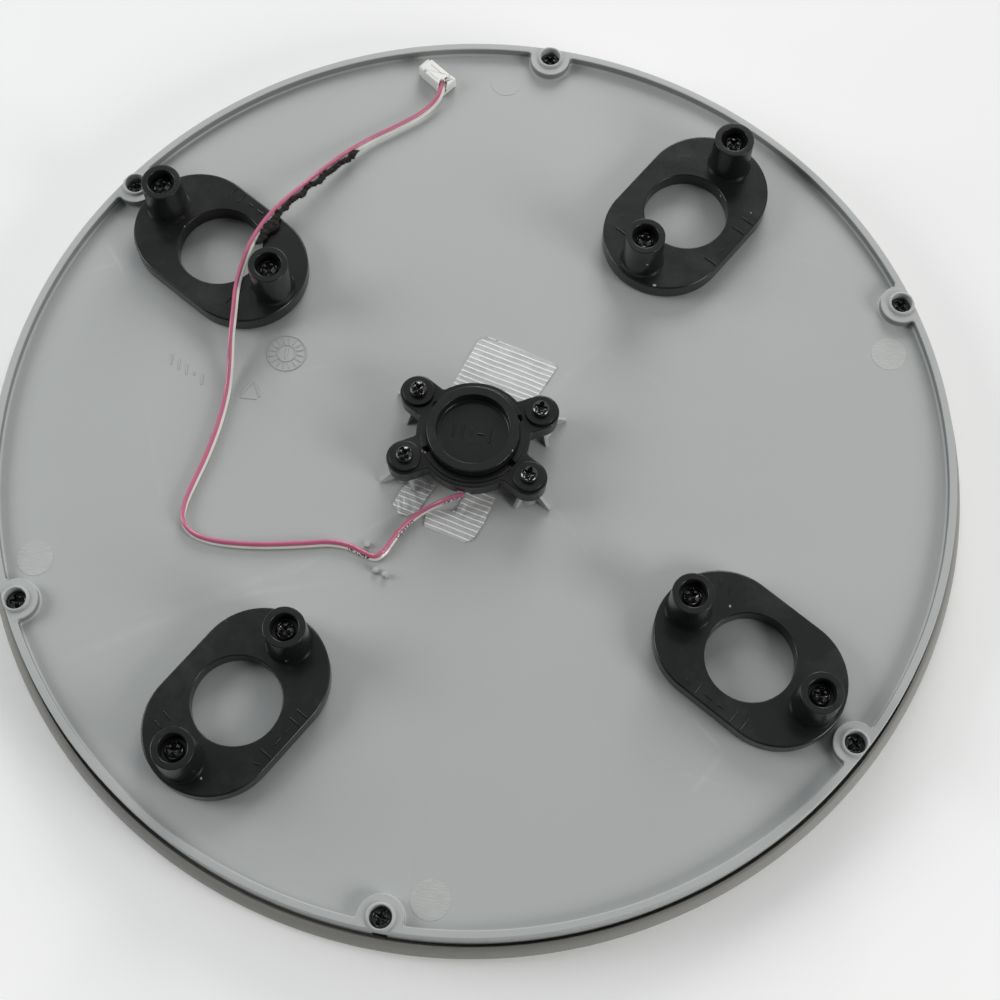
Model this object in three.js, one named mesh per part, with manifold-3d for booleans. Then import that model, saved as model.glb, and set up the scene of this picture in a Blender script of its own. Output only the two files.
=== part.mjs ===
// A round digital bathroom scale lying on its platform with the base cover off.
// Millimetres, +Z up. The origin is on the table, under the middle of the platform.
import * as THREE from 'three';
import { mergeVertices } from 'three/addons/utils/BufferGeometryUtils.js';
import Module from 'manifold-3d';

const wasm = await Module();
wasm.setup();

// ---- driving dimensions ----
const seatGap = 0.3; // between pieces that rest on, or are clamped to, each other
const root = 0.5; // how deep an added solid is sunk into the one it grows from
const clear = 1; // how far a cut runs past the face that it opens
const roundSides = 48; // sides of the large round pieces
const hubSides = 32; // sides of the hub's round pieces
const footHoleSides = 28;
const footEndSides = 9; // sides of each round end of a foot frame
const smallEndSides = 6; // and of the plungers and the hub's arms
const smallSides = 12; // sides of bosses and posts
const holeSides = 8; // sides of shanks and the holes round them
const lowerSteps = 3; // faces of the shell's lower rounding
const upperSteps = 4; // and of the slope up to its lip

// Platform shell and its mat
const platformRadius = 136.8;
const platformFloor = 2.2;
const platformStand = 0.4; // how far the mat stands proud of the shell
const matRadius = 119;
const matThickness = 0.8;
const matWindowMargin = 1; // bare border left round the display window
const bulgeHeight = 2.65; // height of the widest circle
const lowerRound = 3; // width of the rounding below it
const lipWidth = 2.5;
const lipHeight = 7;
const lipFlat = 0.5;
const lipGap = 0.9; // open ring between the shell's lip and the tray

// Tray that carries the feet
const trayHeight = 15;
const trayWall = 2.1;
const panelDrop = 3; // from the rim's top to the panel
const panelThickness = 2;
const panelFillet = 0.6;
const skirtBottom = 2.9;
const rimScrewCount = 6;
const rimScrewStart = 90; // degrees
const rimEdge = 0.4; // bevel along the rim's outer edge
const rimInnerEdge = 0.2; // and along its inner edge
const earRadius = 5.9;
const collarRadius = 3.4;
const collarBore = 2.95;
const collarHeight = 0.8;
const screwSink = 2; // from a collar's or post's top down to its screw's head
const pillarRadius = 3;
const pillarRoom = 0.9; // round each pillar, in the tray

// Pan-head screws
const shankRadius = 1.35;
const headRadius = 2.6;
const headHeight = 2;
const headEdge = 1.1; // height of the head's straight side, below its dome
const headCrown = 0.7; // width of the flat on the dome, as a share of the head
const hubHeadScale = 0.9; // the hub's screws have smaller heads
const crossLength = 4.2;
const crossWidth = 1.1;
const crossDepth = 1.1;
const crossLean = 25; // degrees
const rimShankLength = 8;
const footShankLength = 20;
const hubShankLength = 10;

// Feet
const footAngles = [150, 60, -30, -120]; // degrees
const footToRim = 8.3; // from a foot frame's outer end to the tray's wall
const footEndRadius = 18.1;
const footEndOffset = 9.5; // from the frame's middle to the centre of each round end
const footHoleRadius = 12.1;
const footHeight = 5.1;
const footTravel = 0.6;
const footTravelSpare = 0.3; // left under a foot at the end of its travel
const footBevel = 0.5;
const postSpread = 20.6; // from the frame's middle to each post
const postFootRadius = 5.9;
const postTopRadius = 5.6;
const postHeight = 13.2; // above the frame's top
const postBore = 3.72;

// Load cells and the plungers that press on them
const cellSize = 34;
const cellThickness = 2.4;
const cellSlot = 1.8;
const cellRim = 5;
const socketWall = 1.4;
const socketHeight = 1.6;
const plungerPlate = 2.4;
const plungerHalfWidth = 6.5;
const plungerBoss = 3.6;
const plungerTipRadius = 4;
const plungerTipDrop = 0.9;
const bossGap = 0.9; // round each plunger boss, in the tray's panel

// Wake-up sensor hub
const hubRadius = 15.6;
const hubScrewX = 17.04;
const hubScrewY = 9.82;
const hubStand = 8.4; // from the panel to the underside of the hub's plate
const hubPlate = 3;
const hubSkirt = 5.7; // height of the hub's rim and arms, from the plate's top down
const lobeRadius = 5.05;
const lobeBossRadius = 4.35;
const lobeBossHeight = 1.1;
const drumStep = 0.7; // the drum is this much inside the hub's plate
const drumDepth = 3.2; // below the plate
const drumWall = 1;
const leadExit = 1.4; // how far the lead's way out reaches up from the drum's edge
const notchLength = 1.8; // slots through the plate, between the cap and each lobe
const notchWidth = 2;
const capRadius = 12.6;
const capHeight = 4;
const capRecessRadius = 10.1;
const capRecess = 3.2;
const capFloor = 1.4;
const capSkirt = 1.2; // thickness of the skirt that reaches down through the plate
const capEdge = 0.3;
const ringRadius = 14.35; // raised ring on the plate, round the cap
const ringHeight = 0.5;
const piezoPlay = 0.4; // round the piezo disc, in the drum
const piezoThickness = 0.5;
const ceramicStep = 3.5; // the ceramic is this much inside the piezo disc
const ceramicThickness = 0.4;
const padStep = 1; // and the pad this much inside the ceramic
const padThickness = 1.2;
const hubPostRadius = 3.1;
const finThickness = 1;
const finReach = 7.8;
const sideFinReach = 5.9;
const finTipHeight = 0.8; // above the panel, at the fin's outer end
const finShoulder = 0.4; // width of the fin's top outside its post

// Display, seen through the platform
const displayAngle = 105; // degrees
const displayRadius = 84;
const windowWidth = 62;
const windowDepth = 28;
const windowThickness = 1.6;
const windowLedge = 3;
const lcdThickness = 2.2;
const boardWidth = 70;
const boardDepth = 40;
const boardThickness = 1.2;
const chipSize = [9, 9, 1];
const chipPlace = [14, -8];
const headerSize = [7, 4, 1.4];
const headerPlace = [-24, -14];
const frameWall = 1.6;

// Sensor lead and its connector
const leadWidth = 2.4;
const leadHeight = 1.3;
const leadCore = 1.15; // across one of its two cores
const leadFlat = 0.4; // height of the lead's straight sides, as a share of the whole
const leadSteps = 60;
const connectorLength = 11;
const connectorWidth = 4.8;
const connectorHeight = 4.5;
const connectorLip = 1.6;
const connectorLipWidth = 6;
const connectorAngle = -35; // degrees
const connectorPlace = [-32.7, 117.6];
const cavityDepth = 5;
const contactSize = 0.6;
const leadPocket = 9; // length of the opening that the lead turns in through
const leadPocketSide = 0.6; // its room beside the lead
const tapeThickness = 0.25;
const tapeGap = 0.1;
const foamWidth = 1.6;
const foamHeight = 1.8;
const foamLift = 0.2;
const foamSteps = 20;
const foamStart = 30; // the lead points that the foam runs between
const foamEnd = 35;
const pinRadius = 0.8;
const pinHeight = 2;
const pinPlaces = [[-19.6, -40.2], [-16.8, -39.4], [-22.6, -33.2]];

// ---- heights and radii that follow from them ----
const shellLow = platformStand;
const shellFloor = shellLow + platformFloor;
const recessTop = matThickness + seatGap;
const lipRadius = platformRadius - lipWidth;
const trayRadius = lipRadius - lipGap;
const trayInner = trayRadius - trayWall;
const panelTop = trayHeight - panelDrop;
const panelUnder = panelTop - panelThickness;
const rimScrewCircle = trayRadius - collarRadius;
const rimSeat = trayHeight + collarHeight - screwSink - headHeight;
const pillarTop = panelUnder - seatGap;
const shankHole = shankRadius + seatGap;
const footHalfLength = footEndOffset + footEndRadius;
const footCircle = trayInner - footToRim - footHalfLength;
const footBottom = panelTop + footTravel + footTravelSpare;
const footTop = footBottom + footHeight;
const postTop = footTop + postHeight;
const postSeat = postTop - screwSink - headHeight;
const plungerTop = panelUnder - seatGap;
const plungerLow = plungerTop - plungerPlate;
const cellLow = shellFloor + seatGap;
const socketTop = shellFloor + socketHeight;
const hubScrewCircle = Math.hypot(hubScrewX, hubScrewY);
const hubArmAngle = (Math.atan2(hubScrewY, hubScrewX) * 180) / Math.PI;
const drumRadius = hubRadius - drumStep;
const piezoRadius = drumRadius - drumWall - piezoPlay;
const ceramicRadius = piezoRadius - ceramicStep;
const padRadius = ceramicRadius - padStep;
const hubLow = panelTop + hubStand;
const hubTop = hubLow + hubPlate;
const armLow = hubTop - hubSkirt;
const lobeTop = hubTop + lobeBossHeight;
const drumLow = hubLow - drumDepth;
const capTop = hubTop + capHeight;
const boardLow = shellFloor + lcdThickness + 2 * seatGap;
const displayTurn = displayAngle - 90;
const connectorLow = panelTop + tapeGap;
const connectorMiddle = connectorLow + connectorHeight / 2;

// The lead's route along its middle, from the hub to the connector.
const leadPoints = [
  [0.3, -15.9, 17.3], [-2.1, -16.6, 16.9], [-4.6, -17.8, 15.9], [-7.8, -19.3, 14.3],
  [-11.0, -21.6, 13.2], [-13.5, -24.4, 12.85], [-15.4, -27.4, 12.75], [-17.2, -31.2, 12.75],
  [-18.5, -34.2, 12.75], [-20.6, -36.1, 12.75], [-23.4, -35.7, 12.75], [-28.0, -34.3, 12.75],
  [-33.5, -34.2, 12.75], [-41.0, -35.9, 12.75], [-50.4, -37.9, 12.75], [-58.6, -39.0, 12.75],
  [-65.5, -39.2, 12.75], [-71.0, -38.0, 12.8], [-74.2, -35.0, 12.9], [-74.9, -30.3, 12.85],
  [-74.0, -23.8, 12.75], [-72.5, -15.8, 12.75], [-71.3, -5.4, 12.75], [-71.2, 4.5, 12.95],
  [-71.8, 12.0, 14.6], [-72.8, 20.0, 17.9], [-73.7, 27.7, 18.8], [-74.6, 34.6, 18.8],
  [-74.6, 41.7, 18.8], [-73.9, 48.6, 18.8], [-72.2, 54.8, 18.8], [-69.6, 60.8, 18.75],
  [-64.9, 69.0, 17.6], [-60.1, 77.2, 15.8], [-54.6, 85.2, 14.5], [-48.6, 91.9, 13.8],
  [-40.6, 98.7, 13.6], [-34.0, 104.9, 13.8], [-30.9, 110.0, 14.2], [-30.1, 115.6, 14.5],
];

// The strips of clear tape left on the panel, clockwise from the one behind the hub.
const tapeOutlines = [
  [[-10.2, 16.3], [13.4, 16.3], [18.6, 28.8], [18.2, 30.2], [-2.1, 35.3], [-4.7, 33.7]],
  [[-9.6, -19.8], [-9.3, -24.6], [2.5, -27.3], [4.7, -25.8], [6.8, -20.3],
    [8.7, -11.9], [0.2, -12.5], [-1.5, -18.6]],
  [[-19.0, -19.6], [-16.4, -22.7], [-13.9, -22.2], [-11.8, -20.4], [-8.2, -11.3], [-14.5, -10.0]],
];

const colours = {
  shell: 0x8f8d88, tray: 0xa8aaa8, mat: 0x6f7275, black: 0x2d2e2f, screw: 0x3a3a3c, steel: 0xb4b6b8,
  board: 0x2c6b3f, glass: 0x20262a, lcd: 0x8e9a86, white: 0xe9e8e0, brass: 0xc2a15a, ceramic: 0xe8e4d8,
  foam: 0x2a2724, pink: 0xc85a82, tape: 0xdfe3e2, tin: 0xc9cbcc,
};

// ---- solids ----
const turn = (degrees) => (degrees * Math.PI) / 180;
const outwardOf = ([x, y]) => (Math.atan2(y, x) * 180) / Math.PI;
const around = (radius, degrees) => [radius * Math.cos(turn(degrees)), radius * Math.sin(turn(degrees))];

// A closed geometry as a manifold solid: shared vertices merged and flat triangles dropped.
function solid(geometry) {
  geometry.deleteAttribute('normal');
  geometry.deleteAttribute('uv');
  const merged = mergeVertices(geometry, 1e-4);
  const index = merged.index.array;
  const kept = [];
  for (let i = 0; i < index.length; i += 3) {
    const [a, b, c] = [index[i], index[i + 1], index[i + 2]];
    if (a !== b && b !== c && c !== a) kept.push(a, b, c);
  }
  const vertProperties = new Float32Array(merged.attributes.position.array);
  const triVerts = new Uint32Array(kept);
  return new wasm.Manifold(new wasm.Mesh({ numProp: 3, vertProperties, triVerts }));
}

function union(pieces) {
  return pieces.reduce((whole, piece) => whole.add(piece));
}

function cylinder(radius, low, high, at = [0, 0], sides = smallSides) {
  return cone(radius, radius, low, high, at, sides);
}

function cone(lowRadius, highRadius, low, high, at = [0, 0], sides = smallSides) {
  const geometry = new THREE.CylinderGeometry(highRadius, lowRadius, high - low, sides);
  geometry.rotateX(Math.PI / 2);
  geometry.rotateZ(Math.PI / 2);
  geometry.translate(at[0], at[1], (low + high) / 2);
  return solid(geometry);
}

function box(size, centre, degrees = 0) {
  const geometry = new THREE.BoxGeometry(...size);
  geometry.rotateZ(turn(degrees));
  geometry.translate(...centre);
  return solid(geometry);
}

// A [radius, height] outline, anticlockwise, turned about Z.
function lathe(outline, sides = roundSides) {
  const points = outline.map(([radius, height]) => new THREE.Vector2(radius, height));
  const geometry = new THREE.LatheGeometry(points, sides);
  geometry.rotateX(Math.PI / 2);
  return solid(geometry);
}

function prism(shape, low, high, curveSegments = smallEndSides) {
  const depth = high - low;
  const geometry = new THREE.ExtrudeGeometry(shape, { depth, bevelEnabled: false, curveSegments });
  geometry.translate(0, 0, low);
  return solid(geometry);
}

function disc(radius, low, high, sides = roundSides) {
  return lathe([[0, low], [radius, low], [radius, high], [0, high]], sides);
}

function arc(middle, half, from, to, steps) {
  const points = [];
  for (let i = 0; i <= steps; i += 1) {
    const angle = turn(from + ((to - from) * i) / steps);
    points.push([middle[0] + half[0] * Math.cos(angle), middle[1] + half[1] * Math.sin(angle)]);
  }
  return points;
}

// Turns a solid about Z and then moves it in plan.
function placed(piece, degrees, at = [0, 0]) {
  return piece.rotate([0, 0, degrees]).translate([at[0], at[1], 0]);
}

function polygon(points) {
  return new THREE.Shape(points.map(([x, y]) => new THREE.Vector2(x, y)));
}

// Two round ends joined by straight sides, along X.
function stadium(endOffset, endRadius) {
  const shape = new THREE.Shape();
  shape.absarc(endOffset, 0, endRadius, -Math.PI / 2, Math.PI / 2, false);
  shape.absarc(-endOffset, 0, endRadius, Math.PI / 2, (3 * Math.PI) / 2, false);
  shape.closePath();
  return shape;
}

const model = new THREE.Group();
model.name = 'bathroom_scale';

function addNode(name, piece, color, roughness = 0.5, metalness = 0) {
  const { numProp, vertProperties, triVerts } = piece.getMesh();
  const positions = new Float32Array((vertProperties.length / numProp) * 3);
  for (let i = 0; i < positions.length / 3; i += 1) {
    positions.set(vertProperties.subarray(i * numProp, i * numProp + 3), i * 3);
  }
  const geometry = new THREE.BufferGeometry();
  geometry.setAttribute('position', new THREE.BufferAttribute(positions, 3));
  geometry.setIndex(new THREE.BufferAttribute(new Uint32Array(triVerts), 1));
  geometry.computeVertexNormals();
  const material = new THREE.MeshStandardMaterial({ color, roughness, metalness });
  const mesh = new THREE.Mesh(geometry, material);
  mesh.name = name;
  model.add(mesh);
}

const rimScrewPlaces = Array.from({ length: rimScrewCount }, (_, i) => {
  return around(rimScrewCircle, rimScrewStart + (360 / rimScrewCount) * i);
});
const hubScrewPlaces = [[1, 1], [-1, 1], [-1, -1], [1, -1]].map(([x, y]) => {
  return [x * hubScrewX, y * hubScrewY];
});
const footPlaces = footAngles.map((angle) => around(footCircle, angle));
const displayPlace = around(displayRadius, displayAngle);

// ---- platform ----
function platformShell() {
  const slopeWidth = lipWidth - lipFlat;
  const lowerMiddle = [platformRadius - lowerRound, bulgeHeight];
  const lower = arc(lowerMiddle, [lowerRound, bulgeHeight - shellLow], -90, 0, lowerSteps);
  const upperHalf = [slopeWidth, lipHeight - bulgeHeight];
  const upper = arc([lipRadius + lipFlat, bulgeHeight], upperHalf, 0, 90, upperSteps);
  const outline = [[0, recessTop], [matRadius + seatGap, recessTop], [matRadius + seatGap, shellLow]];
  outline.push(...lower, ...upper.slice(1), [lipRadius, lipHeight]);
  outline.push([lipRadius, shellFloor], [0, shellFloor]);
  let shell = lathe(outline);
  const bossFoot = shellFloor - seatGap;
  for (const place of rimScrewPlaces) {
    const pillar = cylinder(pillarRadius, bossFoot, pillarTop, place);
    shell = shell.add(pillar).subtract(cylinder(shankHole, shellFloor, pillarTop + clear, place));
  }
  footAngles.forEach((angle, i) => {
    const outer = cellSize + 2 * (seatGap + socketWall);
    const inner = cellSize + 2 * seatGap;
    const middle = (bossFoot + socketTop) / 2;
    const height = socketTop - bossFoot;
    const hollow = box([inner, inner, height + clear], [0, 0, middle]);
    const wall = box([outer, outer, height], [0, 0, middle]).subtract(hollow);
    shell = shell.add(placed(wall, angle, footPlaces[i]));
  });
  const opening = box([windowWidth, windowDepth, 2 * (shellFloor + clear)], [0, 0, 0]);
  return shell.subtract(placed(opening, displayTurn, displayPlace));
}

function platformMat() {
  const margin = 2 * matWindowMargin;
  const size = [windowWidth + margin, windowDepth + margin, 2 * (matThickness + clear)];
  const window = placed(box(size, [0, 0, 0]), displayTurn, displayPlace);
  return disc(matRadius, 0, matThickness).subtract(window);
}

// ---- display, built along X and then turned to its place ----
function displayParts() {
  const windowHigh = shellLow + windowThickness;
  const lensSize = [windowWidth - 2 * seatGap, windowDepth - 2 * seatGap, windowThickness];
  const lens = box(lensSize, [0, 0, shellLow + windowThickness / 2]);
  const lcdLow = windowHigh + seatGap;
  const lcdSize = [windowWidth - 2 * windowLedge, windowDepth - windowLedge, lcdThickness];
  const lcd = box(lcdSize, [0, 0, lcdLow + lcdThickness / 2]);
  const outer = [windowWidth + 2 * frameWall, windowDepth + 2 * frameWall];
  const frameLow = shellFloor + seatGap;
  const frameHeight = boardLow - 2 * seatGap - frameLow;
  const frameMiddle = frameLow + frameHeight / 2;
  const holeSize = [lcdSize[0] + 2 * seatGap, lcdSize[1] + 2 * seatGap, frameHeight + clear];
  const hole = box(holeSize, [0, 0, frameMiddle]);
  const frame = box([...outer, frameHeight], [0, 0, frameMiddle]).subtract(hole);
  const board = box([boardWidth, boardDepth, boardThickness], [0, 0, boardLow + boardThickness / 2]);
  const boardTop = boardLow + boardThickness;
  const fitted = ([width, depth, height], [x, y]) => {
    return box([width, depth, height + root], [x, y, boardTop + (height - root) / 2]);
  };
  const chip = fitted(chipSize, chipPlace);
  const header = fitted(headerSize, headerPlace);
  return { lens, lcd, frame, board: union([board, chip, header]) };
}

function addDisplay() {
  const parts = displayParts();
  const seat = (piece) => placed(piece, displayTurn, displayPlace);
  addNode('display_window', seat(parts.lens), colours.glass, 0.1);
  addNode('display_lcd', seat(parts.lcd), colours.lcd, 0.3);
  addNode('display_frame', seat(parts.frame), colours.black, 0.5);
  addNode('main_board', seat(parts.board), colours.board, 0.4);
}

// ---- tray ----
function trayBody() {
  const outline = [[0, panelUnder], [trayInner, panelUnder], [trayInner, skirtBottom]];
  outline.push([trayRadius, skirtBottom], [trayRadius, trayHeight - rimEdge]);
  outline.push([trayRadius - rimEdge, trayHeight]);
  outline.push([trayInner + rimInnerEdge, trayHeight], [trayInner, trayHeight - rimInnerEdge]);
  outline.push([trayInner, panelTop + panelFillet], [trayInner - panelFillet, panelTop], [0, panelTop]);
  return lathe(outline);
}

function rimFixing(place) {
  const ear = cylinder(earRadius, panelUnder, trayHeight, place);
  const collar = cylinder(collarRadius, trayHeight - root, trayHeight + collarHeight, place);
  return ear.add(collar).intersect(disc(trayRadius, panelUnder, trayHeight + collarHeight));
}

// A tapering fin that stands on the panel and leans on a hub post.
function fin(reach) {
  const top = armLow - seatGap;
  const low = panelTop - root;
  const tip = panelTop + finTipHeight;
  const shoulder = hubPostRadius + finShoulder;
  const outline = polygon([[0, low], [reach, low], [reach, tip], [shoulder, top], [0, top]]);
  const geometry = new THREE.ExtrudeGeometry(outline, { depth: finThickness, bevelEnabled: false });
  geometry.rotateX(Math.PI / 2);
  geometry.translate(0, finThickness / 2, 0);
  return solid(geometry);
}

function hubPost(place) {
  const outward = outwardOf(place);
  const post = cylinder(hubPostRadius, panelTop - root, hubLow - seatGap, place);
  const fins = [[finReach, 0], [sideFinReach, 90], [sideFinReach, -90]];
  return union([post, ...fins.map(([reach, side]) => placed(fin(reach), outward + side, place))]);
}

function chassisTray() {
  let tray = trayBody();
  for (const place of rimScrewPlaces) {
    tray = tray.add(rimFixing(place));
    tray = tray.subtract(cylinder(collarBore, rimSeat, trayHeight + collarHeight + clear, place));
    tray = tray.subtract(cylinder(shankHole, panelUnder - clear, rimSeat + clear, place, holeSides));
    tray = tray.subtract(cylinder(pillarRadius + pillarRoom, 0, panelUnder, place));
  }
  for (const place of hubScrewPlaces) {
    const holeLow = lobeTop - hubShankLength - clear;
    tray = tray.add(hubPost(place)).subtract(cylinder(shankHole, holeLow, hubLow, place, holeSides));
  }
  footAngles.forEach((angle, i) => {
    for (const side of [-1, 1]) {
      const at = [side * postSpread, 0];
      const hole = cylinder(plungerBoss + bossGap, panelUnder - clear, panelTop + clear, at, holeSides);
      tray = tray.subtract(placed(hole, angle, footPlaces[i]));
    }
  });
  for (const place of pinPlaces) {
    tray = tray.add(cylinder(pinRadius, panelTop - root, panelTop + pinHeight, place, holeSides));
  }
  return tray;
}

// ---- screws ----
function screw(shankLength, seat, place, headScale = 1) {
  const radius = headRadius * headScale;
  const top = seat + headHeight;
  const crown = radius * headCrown;
  const outline = [[0, seat], [radius, seat], [radius, seat + headEdge], [crown, top], [0, top]];
  const head = lathe(outline, smallSides);
  const shank = cylinder(shankRadius, seat - shankLength, seat + root, [0, 0], holeSides);
  const bar = box([crossLength * headScale, crossWidth, crossDepth * 2], [0, 0, top]);
  const cross = bar.add(placed(bar, 90));
  return placed(head.add(shank).subtract(cross), crossLean, place);
}

// ---- feet: built along X about the origin ----
function footFrame() {
  const edge = footTop - footBevel;
  const body = prism(stadium(footEndOffset, footEndRadius), footBottom, edge, footEndSides);
  const inside = stadium(footEndOffset, footEndRadius - footBevel);
  const rim = prism(inside, edge - root, footTop, footEndSides);
  let frame = body.add(rim);
  const hole = cylinder(footHoleRadius, footBottom - clear, footTop + clear, [0, 0], footHoleSides);
  frame = frame.subtract(hole);
  for (const side of [-1, 1]) {
    const at = [side * postSpread, 0];
    frame = frame.add(cone(postFootRadius, postTopRadius, footTop - root, postTop, at));
    frame = frame.subtract(cylinder(postBore, postSeat, postTop + clear, at));
    frame = frame.subtract(cylinder(shankHole, footBottom - clear, postSeat + clear, at, holeSides));
  }
  return frame;
}

function plunger() {
  let piece = prism(stadium(postSpread, plungerHalfWidth), plungerLow, plungerTop, smallEndSides);
  piece = piece.add(cylinder(plungerTipRadius, plungerLow - plungerTipDrop, plungerLow + root));
  for (const side of [-1, 1]) {
    const at = [side * postSpread, 0];
    piece = piece.add(cylinder(plungerBoss, plungerTop - root, footBottom - seatGap, at, holeSides));
    piece = piece.subtract(cylinder(shankHole, plungerLow - clear, footBottom, at, holeSides));
  }
  return piece;
}

// A square steel plate with a tongue cut free on three sides of its middle.
function loadCell() {
  const inner = cellSize - 2 * cellRim;
  const cut = cellThickness + clear;
  const middle = cellLow + cellThickness / 2;
  const slots = [
    box([cellSlot, inner, cut], [-inner / 2, 0, middle]),
    box([inner, cellSlot, cut], [0, inner / 2, middle]),
    box([inner, cellSlot, cut], [0, -inner / 2, middle]),
  ];
  return box([cellSize, cellSize, cellThickness], [0, 0, middle]).subtract(union(slots));
}

function addFoot(number, angle, place) {
  const seat = (piece) => placed(piece, angle, place);
  addNode(`foot_frame_${number}`, seat(footFrame()), colours.black, 0.55);
  addNode(`load_plunger_${number}`, seat(plunger()), colours.white, 0.5);
  addNode(`load_cell_${number}`, seat(loadCell()), colours.steel, 0.35, 0.9);
  [-1, 1].forEach((side, i) => {
    const at = [side * postSpread, 0];
    const piece = screw(footShankLength, postSeat, at);
    addNode(`foot_screw_${number}${'ab'[i]}`, seat(piece), colours.screw, 0.3, 0.8);
  });
}

// ---- sensor hub ----
function sensorBody() {
  const arms = prism(stadium(hubScrewCircle, lobeRadius), armLow, hubTop, smallEndSides);
  let body = disc(hubRadius, armLow, hubTop, hubSides);
  body = body.add(placed(arms, hubArmAngle)).add(placed(arms, -hubArmAngle));
  body = body.add(disc(drumRadius, drumLow, armLow + root, hubSides));
  body = body.subtract(disc(drumRadius - drumWall, drumLow - clear, hubLow, hubSides));
  body = body.add(disc(ringRadius, hubTop - root, hubTop + ringHeight, hubSides));
  body = body.subtract(disc(capRadius + seatGap, hubTop, hubTop + clear, hubSides));
  body = body.subtract(disc(capRadius - capSkirt + seatGap, hubLow - clear, hubTop + clear, hubSides));
  for (const place of hubScrewPlaces) {
    body = body.add(cylinder(lobeBossRadius, hubTop - root, lobeTop, place));
    body = body.subtract(cylinder(shankHole, hubLow - clear, lobeTop + clear, place, holeSides));
    body = body.subtract(cylinder(hubPostRadius + seatGap, armLow - clear, hubLow, place));
    const slot = box([notchLength, notchWidth, hubPlate * 2], [capRadius + notchLength / 2, 0, hubTop]);
    body = body.subtract(placed(slot, outwardOf(place)));
  }
  const exit = box([leadWidth + 4 * seatGap, drumRadius, leadExit * 2], [0, -drumRadius, drumLow]);
  return body.subtract(exit);
}

function sensorCap() {
  const skirtOuter = capRadius - capSkirt;
  const base = hubTop + seatGap;
  const floor = capTop - capRecess - capFloor;
  const skirtLow = hubLow + seatGap;
  return lathe([
    [0, floor], [skirtOuter - capSkirt, floor], [skirtOuter - capSkirt, skirtLow], [skirtOuter, skirtLow],
    [skirtOuter, base], [capRadius, base], [capRadius, capTop - capEdge], [capRadius - capEdge, capTop],
    [capRecessRadius, capTop], [capRecessRadius, capTop - capRecess], [0, capTop - capRecess],
  ], hubSides);
}

function addHub() {
  addNode('sensor_body', sensorBody(), colours.black, 0.5);
  addNode('sensor_cap', sensorCap(), colours.black, 0.5);
  const piezoHigh = hubLow - seatGap;
  const piezoLow = piezoHigh - piezoThickness;
  const ceramicLow = piezoLow - seatGap - ceramicThickness;
  const padHigh = ceramicLow - seatGap;
  addNode('piezo_disc', disc(piezoRadius, piezoLow, piezoHigh, hubSides), colours.brass, 0.3, 0.9);
  const ceramicHigh = ceramicLow + ceramicThickness;
  addNode('piezo_ceramic', disc(ceramicRadius, ceramicLow, ceramicHigh, hubSides), colours.ceramic, 0.4);
  addNode('sensor_pad', disc(padRadius, padHigh - padThickness, padHigh, hubSides), colours.foam, 0.9);
  hubScrewPlaces.forEach((place, i) => {
    const piece = screw(hubShankLength, lobeTop, place, hubHeadScale);
    addNode(`sensor_screw_${i + 1}`, piece, colours.screw, 0.3, 0.8);
  });
}

// ---- lead, connector, tape ----
// A curve whose section keeps its width level.
class LevelCurve extends THREE.CatmullRomCurve3 {
  computeFrenetFrames(segments) {
    const frames = { tangents: [], normals: [], binormals: [] };
    const up = new THREE.Vector3(0, 0, 1);
    for (let i = 0; i <= segments; i += 1) {
      const tangent = this.getTangentAt(i / segments);
      const side = new THREE.Vector3().crossVectors(up, tangent).normalize();
      frames.tangents.push(tangent);
      frames.normals.push(side);
      frames.binormals.push(new THREE.Vector3().crossVectors(tangent, side));
    }
    return frames;
  }
}

function leadTube(points) {
  const curve = new LevelCurve(points.map((point) => new THREE.Vector3(...point)), false, 'centripetal');
  const halfWidth = leadWidth / 2;
  const halfHeight = leadHeight / 2;
  const side = halfHeight * leadFlat;
  const flat = halfWidth - halfHeight + side;
  const outline = polygon([
    [halfWidth, -side], [halfWidth, side], [flat, halfHeight], [-flat, halfHeight],
    [-halfWidth, side], [-halfWidth, -side], [-flat, -halfHeight], [flat, -halfHeight],
  ]);
  return solid(new THREE.ExtrudeGeometry(outline, { steps: leadSteps, extrudePath: curve }));
}

// The housing and its contacts, along X with the cavities at -X.
function connectorParts() {
  const face = -connectorLength / 2;
  const body = box([connectorLength, connectorWidth, connectorHeight], [0, 0, connectorMiddle]);
  const lipAt = [face + connectorLip / 2, 0, connectorMiddle];
  const lip = box([connectorLip, connectorLipWidth, connectorHeight], lipAt);
  const cavity = contactSize + 2 * seatGap;
  const cavities = [-1, 1].map((side) => {
    return box([cavityDepth * 2, cavity, cavity], [face, side * leadCore, connectorMiddle]);
  });
  const contacts = [-1, 1].map((side) => {
    const at = [face + cavityDepth / 2, side * leadCore, connectorMiddle];
    return box([cavityDepth - 2 * seatGap, contactSize, contactSize], at);
  });
  return { housing: body.add(lip).subtract(union(cavities)), contacts };
}

function addConnector() {
  const seat = (piece) => placed(piece, connectorAngle, connectorPlace);
  const parts = connectorParts();
  const end = leadPoints[leadPoints.length - 1];
  const low = end[2] - leadHeight / 2 - seatGap;
  const pocketMiddle = [end[0], end[1] + seatGap - leadPocket / 2, low + connectorHeight / 2];
  const pocket = box([leadWidth + 2 * leadPocketSide, leadPocket, connectorHeight], pocketMiddle);
  addNode('lead_connector', seat(parts.housing).subtract(pocket), colours.white, 0.4);
  parts.contacts.forEach((contact, i) => {
    addNode(`connector_contact_${i + 1}`, seat(contact), colours.tin, 0.3, 0.9);
  });
}

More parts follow.
